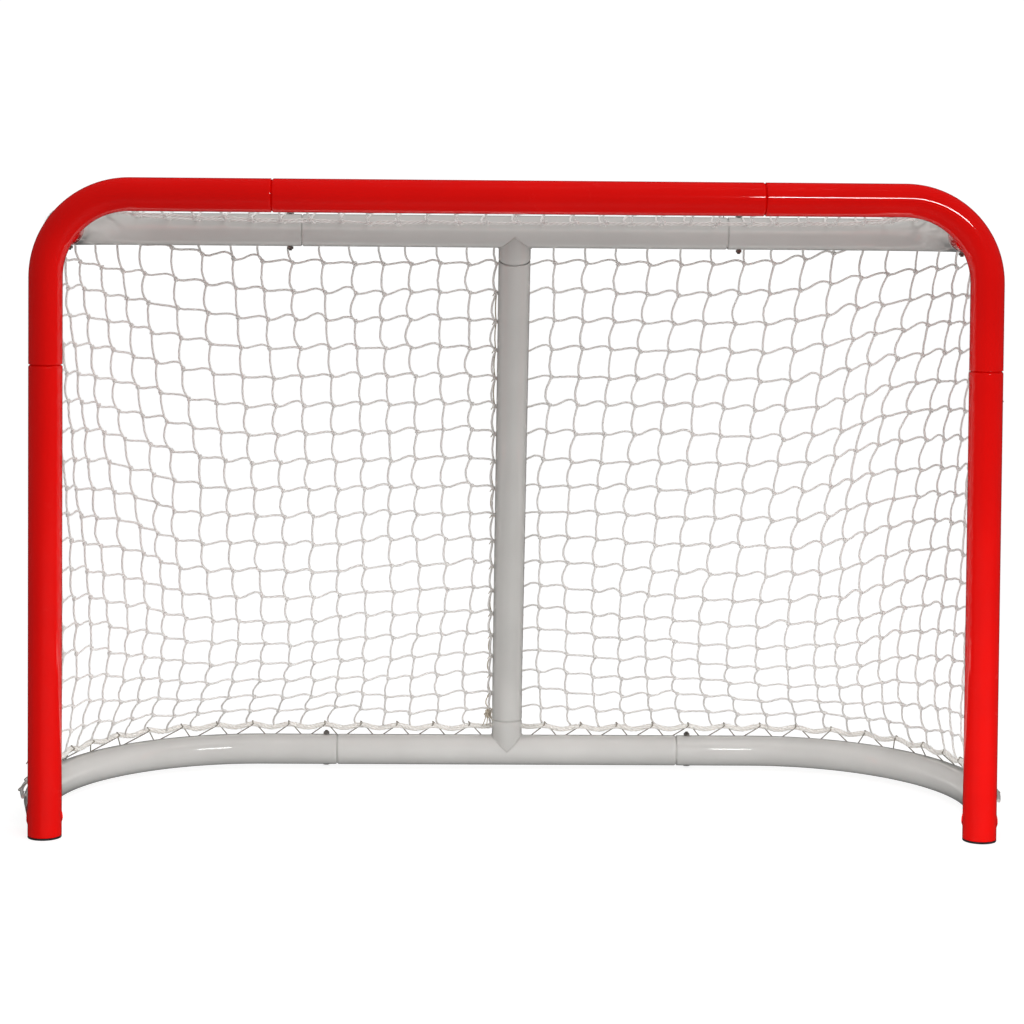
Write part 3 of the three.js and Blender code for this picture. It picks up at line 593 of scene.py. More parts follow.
def add_bead(name, material, start, heading, saddle_line):
    """A rippled weld bead along the saddle line."""
    foot, rise = saddle_line
    line = foot + heading * rise
    away = unit(line - start - heading * ((line - start) @ heading)[:, None])
    line = line + away * BEAD_SINK + heading * BEAD_SINK
    line = np.vstack([line, line[:1]])
    run = run_along(line)
    ripples = round(run[-1] / RIPPLE)
    radii = BEAD_R * (0.82 + 0.22 * np.abs(np.sin(np.pi * ripples * run / run[-1])))
    tangents = unit(np.gradient(line, axis=0))
    tangents[0] = tangents[-1] = unit(tangents[0] + tangents[-1])
    rings = []
    for point, tangent, radius in zip(line[:-1], tangents[:-1], radii[:-1]):
        out = unit(point - start - heading * ((point - start) @ heading))
        out = unit(out - tangent * (out @ tangent))
        rings.append(ring(point, tangent, radius, out, 10))
    bead = Soup()
    add_rings(bead, rings, loop=True)
    bead.piece(f"{name}_weld", material, sharp=0, in_cad=False)


def make_stubs():
    for name, side in BOTH:
        elbow = np.array(elbow_route(side).points)
        stub_piece(f"{name}_elbow_stub", RED, vec(side * RAIL_X, FRONT_Y, RAIL_Z), BACK, STUB_RING, elbow, UP)
        foot = vec(side * POST_X, FRONT_Y, BASE_Z)
        post = foot + UP * np.array([[-0.2], [0.4]])
        stub_piece(f"{name}_base_stub", RED, foot, base_heading(side), BASE_RING, post, UP)
    for name, y, z, heading, reach in (
        ("centre_post_top_stub", RAIL_Y, RAIL_Z, -SLANT_UP, CENTRE_STUB),
        ("centre_post_foot_stub", BASE_Y, BASE_Z, UP, CENTRE_FOOT_STUB),
    ):
        middle = vec(0, y, z)
        rail = middle + LEVEL * np.array([[-0.3], [0.3]])
        # The centre post's stubs wear the darker copy of the white paint: painted shade.
        stub_piece(name, POST_WHITE_PAINTED_SHADE, middle, heading, reach, rail, LEVEL)


# ---- Caps, bolts and screws ----
def make_caps():
    inner = NECK_BORE_R - 0.001
    profile = [
        (0, 0.0), (TUBE_R - 2 * CAP_EDGE, 0.0), (TUBE_R - CAP_EDGE * 0.6, CAP_EDGE * 0.4),
        (TUBE_R, CAP_EDGE * 1.4), (TUBE_R, CAP_FLANGE - CAP_EDGE * 0.8),
        (TUBE_R - CAP_EDGE * 0.5, CAP_FLANGE - 0.0001), (NECK_R, CAP_FLANGE), (NECK_R, 0.023),
        (NECK_R - CAP_EDGE, 0.024), (inner, 0.024), (inner, 0.006), (0, 0.006),
    ]
    for name, side in BOTH:
        soup = Soup()
        turned(soup, profile, vec(side * POST_X, FRONT_Y, 0), UP, 64)
        soup.piece(f"{name}_foot_cap", BLACK)


def make_bolt(name, centre, out, head_height=BOLT_HEAD):
    """A bolt through both tubes: low domed head, thread, and a chamfered hex nut with the thread's end."""
    face = TUBE_R + GAP
    soup = Soup()
    turned(soup, [
        (0, -face - SHANK_TAIL), (SHANK_R * 0.8, -face - SHANK_TAIL), (SHANK_R, -face - SHANK_TAIL + 0.0007),
        (SHANK_R, face), (HEAD_R - 0.0002, face), (HEAD_R, face + head_height * 0.19),
        (HEAD_R - 0.0005, face + head_height * 0.53), (HEAD_R - 0.0020, face + head_height * 0.84),
        (0, face + head_height),
    ], centre, out, 28)
    soup.piece(f"{name}_bolt", STEEL)
    spin = random.uniform(0, math.pi / 3)
    side = LEVEL * math.cos(spin) + np.cross(out, LEVEL) * math.sin(spin)
    angles = np.arange(36) * 2 * np.pi / 36
    hexagon = NUT_R / np.cos((angles + np.pi / 6) % (np.pi / 3) - np.pi / 6)
    spoke = np.cos(angles)[:, None] * side + np.sin(angles)[:, None] * np.cross(out, side)
    rings = []
    for reach, depth in (
        (NUT_BORE, 0.0), (NUT_R * 0.98, 0.0), (np.minimum(hexagon, NUT_CORNER), 0.0005),
        (np.minimum(hexagon, NUT_CORNER), NUT_R - 0.0007), (NUT_R, NUT_R), (NUT_BORE, NUT_R),
    ):
        rings.append(centre - out * (face + depth) + np.broadcast_to(reach, 36)[:, None] * spoke)
    nut = Soup()
    add_rings(nut, rings, loop=True)
    nut.piece(f"{name}_nut", STEEL, 25)


def make_screw(name, centre):
    """A small pan-head screw with a sunk middle, put in from behind."""
    face = TUBE_R + GAP
    soup = Soup()
    turned(soup, [
        (0, face - 0.011), (0.0024, face - 0.0100), (0.0024, face), (0.0048, face), (0.0050, face + 0.0005),
        (0.0042, face + 0.0018), (0.0022, face + 0.0025), (0.0018, face + 0.0010), (0, face + 0.0010),
    ], centre, BACK, 24)
    soup.piece(name, STEEL)


def make_fasteners():
    for name, side in BOTH:
        arm = vec(side * RAIL_X, FRONT_Y + STUB_RING + BOLT_INSET, RAIL_Z)
        foot = vec(side * POST_X, FRONT_Y, BASE_Z) + base_heading(side) * (BASE_RING + BOLT_INSET)
        under = vec(side * (BASE_SEAM_X + BOLT_INSET), BASE_Y, BASE_Z)
        make_bolt(f"{name}_arm", arm, UP)
        make_bolt(f"{name}_rear_rail", vec(side * (RAIL_SEAM_X + BOLT_INSET), RAIL_Y, RAIL_Z), UP)
        make_bolt(f"{name}_base_arm", foot, -UP, BOLT_HEAD_LOW)
        make_bolt(f"{name}_base_rail", under, -UP, BOLT_HEAD_LOW)
        make_screw(f"{name}_post_screw", vec(side * POST_X, FRONT_Y, POST_SEAM_Z + BOLT_INSET))
        make_screw(f"{name}_crossbar_screw", vec(side * (CROSS_SEAM_X + BOLT_INSET), FRONT_Y, CROSS_Z))


# ---- Lacing rods ----
def rod_offset(degrees):
    """Level and upright parts of the way from a tube's axis to its rod, at an angle off level."""
    return ROD_OFF * math.cos(math.radians(degrees)), ROD_OFF * math.sin(math.radians(degrees))


CROSS_ROD_BACK, CROSS_ROD_DROP = rod_offset(15)
POST_ROD_BACK, POST_ROD_OUT = rod_offset(40)
BASE_ROD_OUT, BASE_ROD_LIFT = rod_offset(25)
POST_ROD_LOW, POST_ROD_HIGH = 0.110, 0.770
CROSS_ROD_END = 0.392
BASE_ROD_LEAD = 0.030
BASE_ROD_SHORT = 0.015


def smooth_line(points, per_span=6):
    """A Catmull-Rom line through points."""
    points = np.asarray(points, float)
    padded = np.vstack([2 * points[0] - points[1], points, 2 * points[-1] - points[-2]])
    out = []
    for k in range(len(points) - 1):
        p0, p1, p2, p3 = padded[k:k + 4]
        for step in range(per_span):
            t = step / per_span
            out.append(0.5 * (2 * p1 + (p2 - p0) * t + (2 * p0 - 5 * p1 + 4 * p2 - p3) * t * t
                              + (3 * p1 - p0 - 3 * p2 + p3) * t ** 3))
    out.append(points[-1])
    return np.array(out)


def spaced(points, count):
    """The same line with evenly spaced stations."""
    run = run_along(points)
    return interpolate(np.linspace(0, run[-1], count), run, points)


def rod_piece(name, material, line, parent):
    """A thin rod held off its tube by short welded pins."""
    soup = Soup()
    line, parent = np.array(line), np.array(parent)
    add_tubes(soup, line, ROD_R, 14)
    count = 2 * round(run_along(line)[-1] / PIN_SPACING / 2) + 1
    points = spaced(line, 101)[np.linspace(3, 97, count + 1).astype(int)]
    for point, foot in zip(points, nearest_on(parent, points)):
        pin_end = foot + unit(point - foot) * (TUBE_R - 0.0004)
        pin = [(0, 0), (PIN_R, 0), (PIN_R, 0.0052), (0.0034, 0.0072), (0, 0.0078)]
        turned(soup, pin, point, pin_end - point, 12)
    soup.piece(name, material)


def make_rods():
    y, z = FRONT_Y + CROSS_ROD_BACK, CROSS_Z - CROSS_ROD_DROP
    ends = [(-CROSS_ROD_END, y, z), (CROSS_ROD_END, y, z)]
    rod_piece("crossbar_lacing_rod", RED, ends, [(-0.5, FRONT_Y, CROSS_Z), (0.5, FRONT_Y, CROSS_Z)])
    for name, side in BOTH:
        x, y = side * (POST_X + POST_ROD_OUT), FRONT_Y + POST_ROD_BACK
        post = [(side * POST_X, FRONT_Y, 0), (side * POST_X, FRONT_Y, 0.9)]
        rod_piece(f"{name}_post_lacing_rod", RED, [(x, y, POST_ROD_LOW), (x, y, POST_ROD_HIGH)], post)
        line = base_route(side, BASE_ROD_OUT, BASE_ROD_LIFT, BASE_ROD_LEAD).points
        line[-1][0] += side * BASE_ROD_SHORT
        rail = base_route(side, 0, 0, BASE_ROD_LEAD).points
        rod_piece(f"{name}_base_lacing_rod", WHITE, line, rail)
    reach = BASE_SEAM_X - BASE_ROD_SHORT
    y, z = BASE_Y + BASE_ROD_OUT, BASE_Z + BASE_ROD_LIFT
    rail = [(-0.5, BASE_Y, BASE_Z), (0.5, BASE_Y, BASE_Z)]
    rod_piece("middle_base_lacing_rod", WHITE, [(-reach, y, z), (reach, y, z)], rail)


# ---- Curves that the net follows ----
MESH = 0.052             # knot to knot along a taut strand
TWINE_R = 0.00195
KNOT_R = 0.0020
STRAND_STEPS = 9
ROWS = 20                # meshes from the top of the rear rail to the hem
HALF_TOP = 18.8          # columns from the middle to the front edge, at the top and at the hem
HALF_LOW = 24.0
EDGE_GAP = 0.25          # of a column, kept free at the front edge
RAIL_LIE = TUBE_R + TWINE_R + 0.0006      # net lying on a tube, from the tube's axis
HEM_OUT = 0.010
HEM_HIGH, HEM_DROOP = 0.0775, 0.006
HEM_TUCK, TUCK_FROM, TUCK_OVER = 0.015, 0.70, 0.35
HEM_R = 0.0050
HEM_BITE = 0.0022        # how far the base lacing is drawn into the soft hem rope
FRONT_ROPE_R = 0.0038
ROPE_BEHIND = 0.017      # the front rope, behind the rods that it is laced to
ROPE_TOP_Z, ROPE_LOW_Z = 1.016, 0.082
CORD_R = 0.0012
LACE_PITCH = 0.069
SWING = 4.3              # how late the hanging net swings back to the floor frame
WRAP = 0.049             # net from the top of the rail round to level behind it
TOP_SPACING, SPACING_LOSS = 0.0576, 0.00062   # columns at the rail, and how much closer each row hangs
HEM_SPACING = 0.0532
CORNER_COLUMN = 12       # columns hang closer together from the rear corners to the posts
LOW_TIE, LOW_SHIFT = -0.029, -0.041       # the middle column is tied at the left of the centre post
POST_LACE_BACK = 0.016   # that tie, behind the post's axis
TENT = 0.62              # how far from the centre post the net is drawn back by it
SLIP, MORE_SLIP = 0.002, 0.052            # of the net over the rail: at the corners, and more in the middle
SLIP_FROM, SLIP_OVER = 0.82, 0.34
ROPE_ROW = 0.2           # the row at which the front rope's rise begins
TIE_ABOVE = 0.25         # of a row, least rise of a tie up to the front rope
TIE_SLACK = 0.006
KNOT_SLIP, KNOT_JITTER = 0.0045, 0.0008   # slips shared with the neighbours, and a knot's own
STRETCH = 1.08           # a strand longer than this many meshes is drawn in
PASSES = 10
CLEARANCE = 0.004        # from a tube's skin to a knot
STUB_CLEAR, STUB_WIDTH = 0.0015, 0.055    # the hem swings out behind the centre post's foot stub
DROOP_PHASE = 0.55
ROOF_SAG = 0.026
RAIL_FRONT, BASE_FRONT = 0.047, 0.055     # where the two curves stop behind the front frame


def plan_curve(pieces):
    """Points and outward normals every two millimetres along straight runs and arcs in plan, from the middle
    of the back round to the front. pieces are ("line", end) and ("arc", centre, radius, from, to)."""
    points, normals = [], []
    at = vec(0, pieces[0][1][1])
    for kind, place, *arc in pieces:
        place = np.array(place, float)
        if kind == "line":
            steps = max(2, int(np.linalg.norm(place - at) / 0.002))
            way = unit(place - at)
            points += [at + (place - at) * k / steps for k in range(steps)]
            normals += [vec(-way[1], way[0])] * steps
            at = place
        else:
            radius, start, stop = arc
            steps = max(2, int(abs(stop - start) * radius / 0.002))
            for k in range(steps + 1):
                angle = start + (stop - start) * k / steps
                spoke = vec(math.cos(angle), math.sin(angle))
                at = place + radius * spoke
                if k < steps:
                    points.append(at)
                    normals.append(spoke)
    return np.array(points + [at]), np.array(normals + [normals[-1]])


def along_curve(curve, at):
    """Point and normal at a distance along the curve."""
    points, normals = curve
    run = run_along(points)
    at = np.clip(at, 0, run[-1])
    return interpolate(at, run, points), unit(interpolate(at, run, normals))


def shifted_length(curve, out):
    points, normals = curve
    return run_along(points + normals * out)[-1]


quarter = math.pi / 2
arm_x = RAIL_X - RAIL_BEND_R
RAIL_CURVE = plan_curve([
    ("line", (arm_x, RAIL_Y)),
    ("arc", (arm_x, RAIL_Y - RAIL_BEND_R), RAIL_BEND_R, quarter, 0),
    ("line", (RAIL_X, FRONT_Y + RAIL_FRONT)),
])
lead_x = POST_X + (BASE_RING + BASE_LEAD) * math.sin(BASE_TURN)
wide_x = lead_x + BASE_LEAD_BEND_R * (1 - math.cos(BASE_TURN))
BASE_CURVE = plan_curve([
    ("line", (wide_x - BASE_BEND_R, BASE_Y)),
    ("arc", (wide_x - BASE_BEND_R, BASE_Y - BASE_BEND_R), BASE_BEND_R, quarter, 0),
    ("arc", (wide_x - BASE_LEAD_BEND_R, BASE_Y - BASE_BEND_R), BASE_LEAD_BEND_R, 0, -BASE_TURN),
    ("line", (POST_X + BASE_FRONT * math.sin(BASE_TURN), FRONT_Y + BASE_FRONT * math.cos(BASE_TURN))),
])
HEM_CURVE = (BASE_CURVE[0] + BASE_CURVE[1] * HEM_OUT, BASE_CURVE[1])
TOP_LENGTH, HEM_LENGTH = shifted_length(RAIL_CURVE, RAIL_LIE), shifted_length(BASE_CURVE, HEM_OUT)


def front_rope_line():
    """Right half of the front border rope: up behind the post, over the welded stub, along the crossbar."""
    x, y = POST_X + POST_ROD_OUT, FRONT_Y + POST_ROD_BACK + ROPE_BEHIND
    y_bar, z_bar = FRONT_Y + CROSS_ROD_BACK + ROPE_BEHIND, CROSS_Z - CROSS_ROD_DROP
    reach = TUBE_R + FRONT_ROPE_R + 0.002
    points = [(x - 0.002, y + 0.008, ROPE_LOW_Z), (x, y, 0.14)]
    points += [(x, y, z) for z in np.linspace(0.2, 0.86, 12)]
    points.append((x - 0.008, y + 0.002, 0.95))
    for angle in map(math.radians, (0, 30, 60, 95)):
        points.append((RAIL_X + reach * math.cos(angle), y_bar, RAIL_Z + reach * math.sin(angle)))
    points += [(0.70, y_bar, 1.069), (0.62, y_bar, 1.0725), (0.52, y_bar, z_bar - 0.001)]
    points += [(x, y_bar, z_bar) for x in np.linspace(0.44, 0, 10)]
    return spaced(smooth_line(points, 8), 700)


FRONT_ROPE = front_rope_line()
ROPE_PEAK = FRONT_ROPE[:, 2].argmax()


def hem_point(at, side):
    """Point of the hem at a distance from the middle of the back: lifted at each lace, drooping between, and
    drawn in over the side rails towards the posts."""
    point, normal = along_curve(HEM_CURVE, at)
    drawn = ease(np.clip((at - TUCK_FROM) / TUCK_OVER, 0, 1))
    point = point - normal * (HEM_TUCK * drawn)[..., None]
    behind_stub = (TUBE_R + HEM_R + STUB_CLEAR - HEM_OUT) * np.exp(-(at / STUB_WIDTH) ** 4)
    phase = (at - DROOP_PHASE * LACE_PITCH) / LACE_PITCH
    droop = HEM_DROOP * (0.5 + 0.5 * np.cos(2 * np.pi * phase))
    return np.stack([point[..., 0] * side, point[..., 1] + behind_stub, HEM_HIGH - droop], -1)


# ---- The net: knots laid along a hanging path, then drawn in where a strand is too long ----
def half_columns(row):
    return HALF_TOP + (HALF_LOW - HALF_TOP) * row / ROWS


def last_column(row):
    return int(half_columns(row) - EDGE_GAP)


def spread(column, half, spacing, length):
    """How far round a column hangs: evenly as far as the corner, then in equal shares of what is left."""
    left = (length - CORNER_COLUMN * spacing) / (half - CORNER_COLUMN)
    return min(column, CORNER_COLUMN) * spacing + max(0, column - CORNER_COLUMN) * left


def slip(at):
    """How far over the rail the net's first row lies: little at the corners, one mesh more in the middle."""
    return SLIP + MORE_SLIP * ease(np.clip((SLIP_FROM - at) / SLIP_OVER, 0, 1))


def rope_place(row, side):
    """Point of the rising part of the front rope at a row's height."""
    z = ROPE_TOP_Z - (ROPE_TOP_Z - ROPE_LOW_Z) * (row - ROPE_ROW) / (ROWS - ROPE_ROW)
    part = FRONT_ROPE[:ROPE_PEAK]
    return interpolate(z, part[:, 2], part) * vec(side, 1, 1)


def first_place(row, column):
    """Knots at equal distances along the net's path: over the rail, then down in a late swing to the hem."""
    side = -1 if column < 0 else 1
    half = half_columns(row)
    shift = (LOW_TIE if side < 0 else LOW_SHIFT) * side * (1 - abs(column) / half)
    top_run = abs(spread(abs(column), half, TOP_SPACING - SPACING_LOSS * row, TOP_LENGTH) + shift)
    low_run = abs(spread(abs(column), half, HEM_SPACING, HEM_LENGTH) + shift)
    if column == 0:
        side, top_run, low_run = -1, -LOW_TIE, -LOW_TIE
    axis, out = along_curve(RAIL_CURVE, top_run / TOP_LENGTH * run_along(RAIL_CURVE[0])[-1])
    low = hem_point(np.array(low_run), 1)
    top = axis + out * RAIL_LIE
    t = np.linspace(0, 1, 120)
    path = np.column_stack([top + (low[:2] - top) * (t ** SWING)[:, None], RAIL_Z + (low[2] - RAIL_Z) * t])
    run = run_along(path)
    gap = np.maximum(post_y(path[:, 2]) + TUBE_R + 0.006 - path[:, 1], 0)
    path[:, 1] += gap * max(0, 1 - low_run / TENT) ** 1.5 * np.minimum(1, t * 12)
    start = slip(top_run)
    at = start + (WRAP + run[-1] - start) * row / ROWS
    if at < WRAP:
        angle = quarter * (1 - at / WRAP)
        x, y = axis + out * RAIL_LIE * math.cos(angle)
        return vec(x * side, y, RAIL_Z + RAIL_LIE * math.sin(angle))
    x, y, z = interpolate(at - WRAP, run, path)
    if column == 0 and row < ROWS:
        return vec(LOW_TIE - 0.002, float(post_y(z)) + POST_LACE_BACK, z)
    return vec(x * side, y, z)


def grouped(edges):
    """Groups of edges that share no knot, so that each group can be drawn in at once."""
    groups, used = [], []
    for k, (a, b) in enumerate(edges):
        for group, knots in zip(groups, used):
            if a not in knots and b not in knots:
                break
        else:
            group, knots = [], set()
            groups.append(group)
            used.append(knots)
        group.append(k)
        knots.update((a, b))
    return [np.array(group) for group in groups]


class Net:
    """Knots of the curtain that hangs from the rear rail, round the back and both sides."""

    def __init__(self):
        self.index, ties, knots = {}, [], []

        def tie(row, column, rope_row, length):
            ties.append((len(knots), self.index[row, column], length))
            knots.append((rope_place(rope_row, 1 if column > 0 else -1), True, row, column))

        for row in range(ROWS + 1):
            for column in range(-last_column(row), last_column(row) + 1):
                self.index[row, column] = len(knots)
                knots.append((first_place(row, column), row in (0, ROWS) or column == 0, row, column))
        for row in range(1, ROWS):
            for side in (-1, 1):
                tie(row, last_column(row) * side, row, (half_columns(row) - last_column(row)) * MESH)
        # A column that begins below the top is tied up to the front rope.
        for side in (-1, 1):
            for column in range(last_column(0) + 1, last_column(ROWS) + 1):
                row = next(r for r in range(ROWS + 1) if (r, column * side) in self.index)
                above = (column + EDGE_GAP - HALF_TOP) / (HALF_LOW - HALF_TOP) * ROWS
                length = max(ROPE_ROW, row - above) * MESH + TIE_SLACK
                tie(row, column * side, min(above, row - TIE_ABOVE), length)
        places, fixed, rows, columns = zip(*knots)
        self.places, self.free = np.array(places), ~np.array(fixed)
        self.row_of, self.column_of = np.array(rows), np.array(columns)
        self.across, self.down = self.neighbours(0, 1), self.neighbours(1, 0)
        self.ties = np.array([tie[:2] for tie in ties])
        self.tie_lengths = [tie[2] for tie in ties]

    def neighbours(self, rows, columns):
        """Pairs of knots that many rows and columns apart."""
        index = self.index
        pairs = [(k, index.get((row + rows, column + columns))) for (row, column), k in index.items()]
        return np.array([pair for pair in pairs if pair[1] is not None])

    def hang(self):
        """Small slips of the knots, then strands that are too long are drawn in, clear of the tubes."""
        p, free = self.places, self.free
        strands = np.concatenate([self.across, self.down])
        drift = random.normal(0, KNOT_SLIP, p.shape) * vec(1, 0.5, 0.8)
        for _ in range(2):
            total, count = drift.copy(), np.ones(len(p))
            for here, there in (strands.T, strands.T[::-1]):
                np.add.at(total, here, drift[there])
                np.add.at(count, here, 1)
            drift = total / count[:, None] * 1.45
        p[free] += drift[free] + random.normal(0, KNOT_JITTER, (free.sum(), 3))
        edges = np.concatenate([strands, self.ties])
        lengths = np.concatenate([np.full(len(strands), MESH * STRETCH), self.tie_lengths])
        weights = free.astype(float)
        groups = grouped(edges)
        for _ in range(PASSES):
            for group in groups:
                a, b = edges[group].T
                gap = p[b] - p[a]
                distance = np.linalg.norm(gap, axis=1)
                total = np.maximum(weights[a] + weights[b], 1e-9)
                excess = np.maximum(distance - lengths[group], 0) * 0.5
                push = gap * (excess / np.maximum(distance, 1e-9) / total)[:, None]
                p[a] += push * weights[a][:, None]
                p[b] -= push * weights[b][:, None]
            self.keep_clear()

    def keep_clear(self):
        """Knots stay outside the rear rail, behind the centre post and clear of the floor frame."""
        p, free = self.places, self.free
        x, y, z = p.T
        clear = TUBE_R + CLEARANCE
        behind = post_y(z) + np.sqrt(np.maximum(clear ** 2 - x ** 2, 0)) / math.cos(SLANT)
        hit = free & (np.abs(x) < clear) & (y < behind) & (z < RAIL_Z)
        p[hit, 1] = behind[hit]
        for curve, height in ((RAIL_CURVE[0][::4], RAIL_Z), (BASE_CURVE[0][::4], BASE_Z)):
            near = np.flatnonzero(free & (np.abs(z - height) < 0.06))
            offset = np.stack([np.abs(x[near]), y[near]], 1)[:, None] - curve
            nearest = np.linalg.norm(offset, axis=2).argmin(1)
            solid = np.column_stack([offset[np.arange(len(near)), nearest], z[near] - height])
            distance = np.linalg.norm(solid, axis=1)
            inside = distance < RAIL_LIE
            fix = solid[inside] / distance[inside, None] * (RAIL_LIE - distance[inside])[:, None]
            fix[:, 0] *= np.sign(x[near[inside]])
            p[near[inside]] += fix

    def directions(self):
        """Right and up directions of the hung cloth at every knot."""
        p = self.places
        run, rise = np.zeros_like(p), np.zeros_like(p)
        for total, edges, way in ((run, self.across, 1), (rise, self.down, -1)):
            for ends in edges.T:
                np.add.at(total, ends, way * (p[edges[:, 1]] - p[edges[:, 0]]))
        anchors, knots = self.ties.T
        run[anchors], rise[anchors] = run[knots], rise[knots]
        rise[np.linalg.norm(rise, axis=1) < 1e-9] = UP
        run = unit(run)
        return run, unit(rise - run * np.sum(rise * run, axis=1, keepdims=True))


def hermite(a, b, ta, tb):
    """Cubic lines from a to b with end tangents, (lines, stations, 3)."""
    t = np.linspace(0, 1, STRAND_STEPS + 1)[None, :, None]
    a, b, ta, tb = (v[:, None] for v in (a, b, ta, tb))
    return ((2 * t ** 3 - 3 * t ** 2 + 1) * a + (t ** 3 - 2 * t ** 2 + t) * ta
            + (3 * t ** 2 - 2 * t ** 3) * b + (t ** 3 - t ** 2) * tb)


def knot_template():
    """A sheet bend as the eye sees it: two close wraps of twine, leaning from upper left to lower right."""
    turns, lean = 1.85, math.radians(38)
    t = np.linspace(0, 1, 26)
    angle = 2 * np.pi * turns * t + 0.4
    across = 0.0026 * np.cos(angle)
    through = 0.0021 * np.sin(angle)
    along = (t - 0.5) * 0.0062
    right = across * math.cos(lean) + along * math.sin(lean)
    up = across * math.sin(lean) - along * math.cos(lean)
    return np.stack([right, up, through], 1)


KNOT = knot_template()


# Shares of the span: how far a strand leaves one knot and enters the next sideways.
DOWN_LEAVES, DOWN_ENTERS = 0.30, 0.66
ACROSS_LEAVES, ACROSS_VARIES, ACROSS_ENTERS = 0.05, 0.24, 1.1


def lay_strands(soup, knots_a, knots_b, run, rise, down, vary):
    """Strands between pairs of knots. run and rise are the cloth's right and up directions at each pair."""
    span = np.linalg.norm(knots_b - knots_a, axis=1)[:, None]
    way = (knots_b - knots_a) / span
    much = vary[:, None]
    drift = random.normal(0, 0.05, (len(span), 1)) * unit(np.cross(run, rise))
    if down:
        start = span * (way - run * (DOWN_LEAVES * much) + drift)
        end = span * (way * 0.9 + run * (DOWN_ENTERS * much) - drift)
    else:
        start = span * (way - rise * (ACROSS_LEAVES + ACROSS_VARIES * much) + drift)
        end = span * (way * 0.85 - rise * (ACROSS_ENTERS * much) - drift)
    lines = hermite(knots_a, knots_b, start, end)
    ripple = random.normal(0, 0.00022, lines.shape)
    ripple[:, (0, -1)] = 0
    thick = np.broadcast_to(random.normal(1, 0.05, (len(span), 1)), lines.shape[:2])
    add_tubes(soup, lines + ripple, TWINE_R * thick, 6, phase=random.uniform(0, 1, len(span)))


def lay_knots(soup, places, run, rise):
    count = len(places)
    out = np.cross(run, rise)
    size = random.normal(1, 0.08, count)[:, None, None]
    tilt = random.normal(0, 0.25, count)[:, None]
    right = run * np.cos(tilt) + rise * np.sin(tilt)
    up = -run * np.sin(tilt) + rise * np.cos(tilt)
    ways = np.stack([right, up, out], 1)
    add_tubes(soup, places[:, None] + size * (KNOT @ ways), KNOT_R, 5, phase=random.uniform(0, 1, count))


def make_net():
    net = Net()
    net.hang()
    run, rise = net.directions()
    p, far = net.places, last_column(ROWS) + 1
    anchors = np.isin(np.arange(len(p)), net.ties[:, 0])
    for name, low, high in (
        ("net_left_side", -far, -CORNER_COLUMN), ("net_back_left", -CORNER_COLUMN, 0),
        ("net_back_right", 0, CORNER_COLUMN), ("net_right_side", CORNER_COLUMN, far),
    ):
        soup = Soup()
        for edges in (net.across, net.down, net.ties):
            middle = net.column_of[edges].mean(1)
            chosen = edges[(middle >= low) & (middle < high)]
            if edges is net.ties:
                # Each tie runs the way its neighbours do: towards the post on the right, away on the left.
                chosen = np.where((p[chosen[:, 0], 0] > 0)[:, None], chosen[:, ::-1], chosen)
            else:
                chosen = chosen[~(net.row_of[chosen] == ROWS).all(1)]
            a, b = chosen.T
            vary = np.clip(random.normal(0.85, 0.3, len(chosen)), 0.2, 1.6)
            ways = unit(run[a] + run[b]), unit(rise[a] + rise[b])
            lay_strands(soup, p[a], p[b], *ways, edges is net.down, vary)
        owned = (net.column_of >= low) & (net.column_of < high) & (net.row_of < ROWS) & ~anchors
        lay_knots(soup, p[owned], run[owned], rise[owned])
        soup.piece(name, TWINE, sharp=0)
    return net


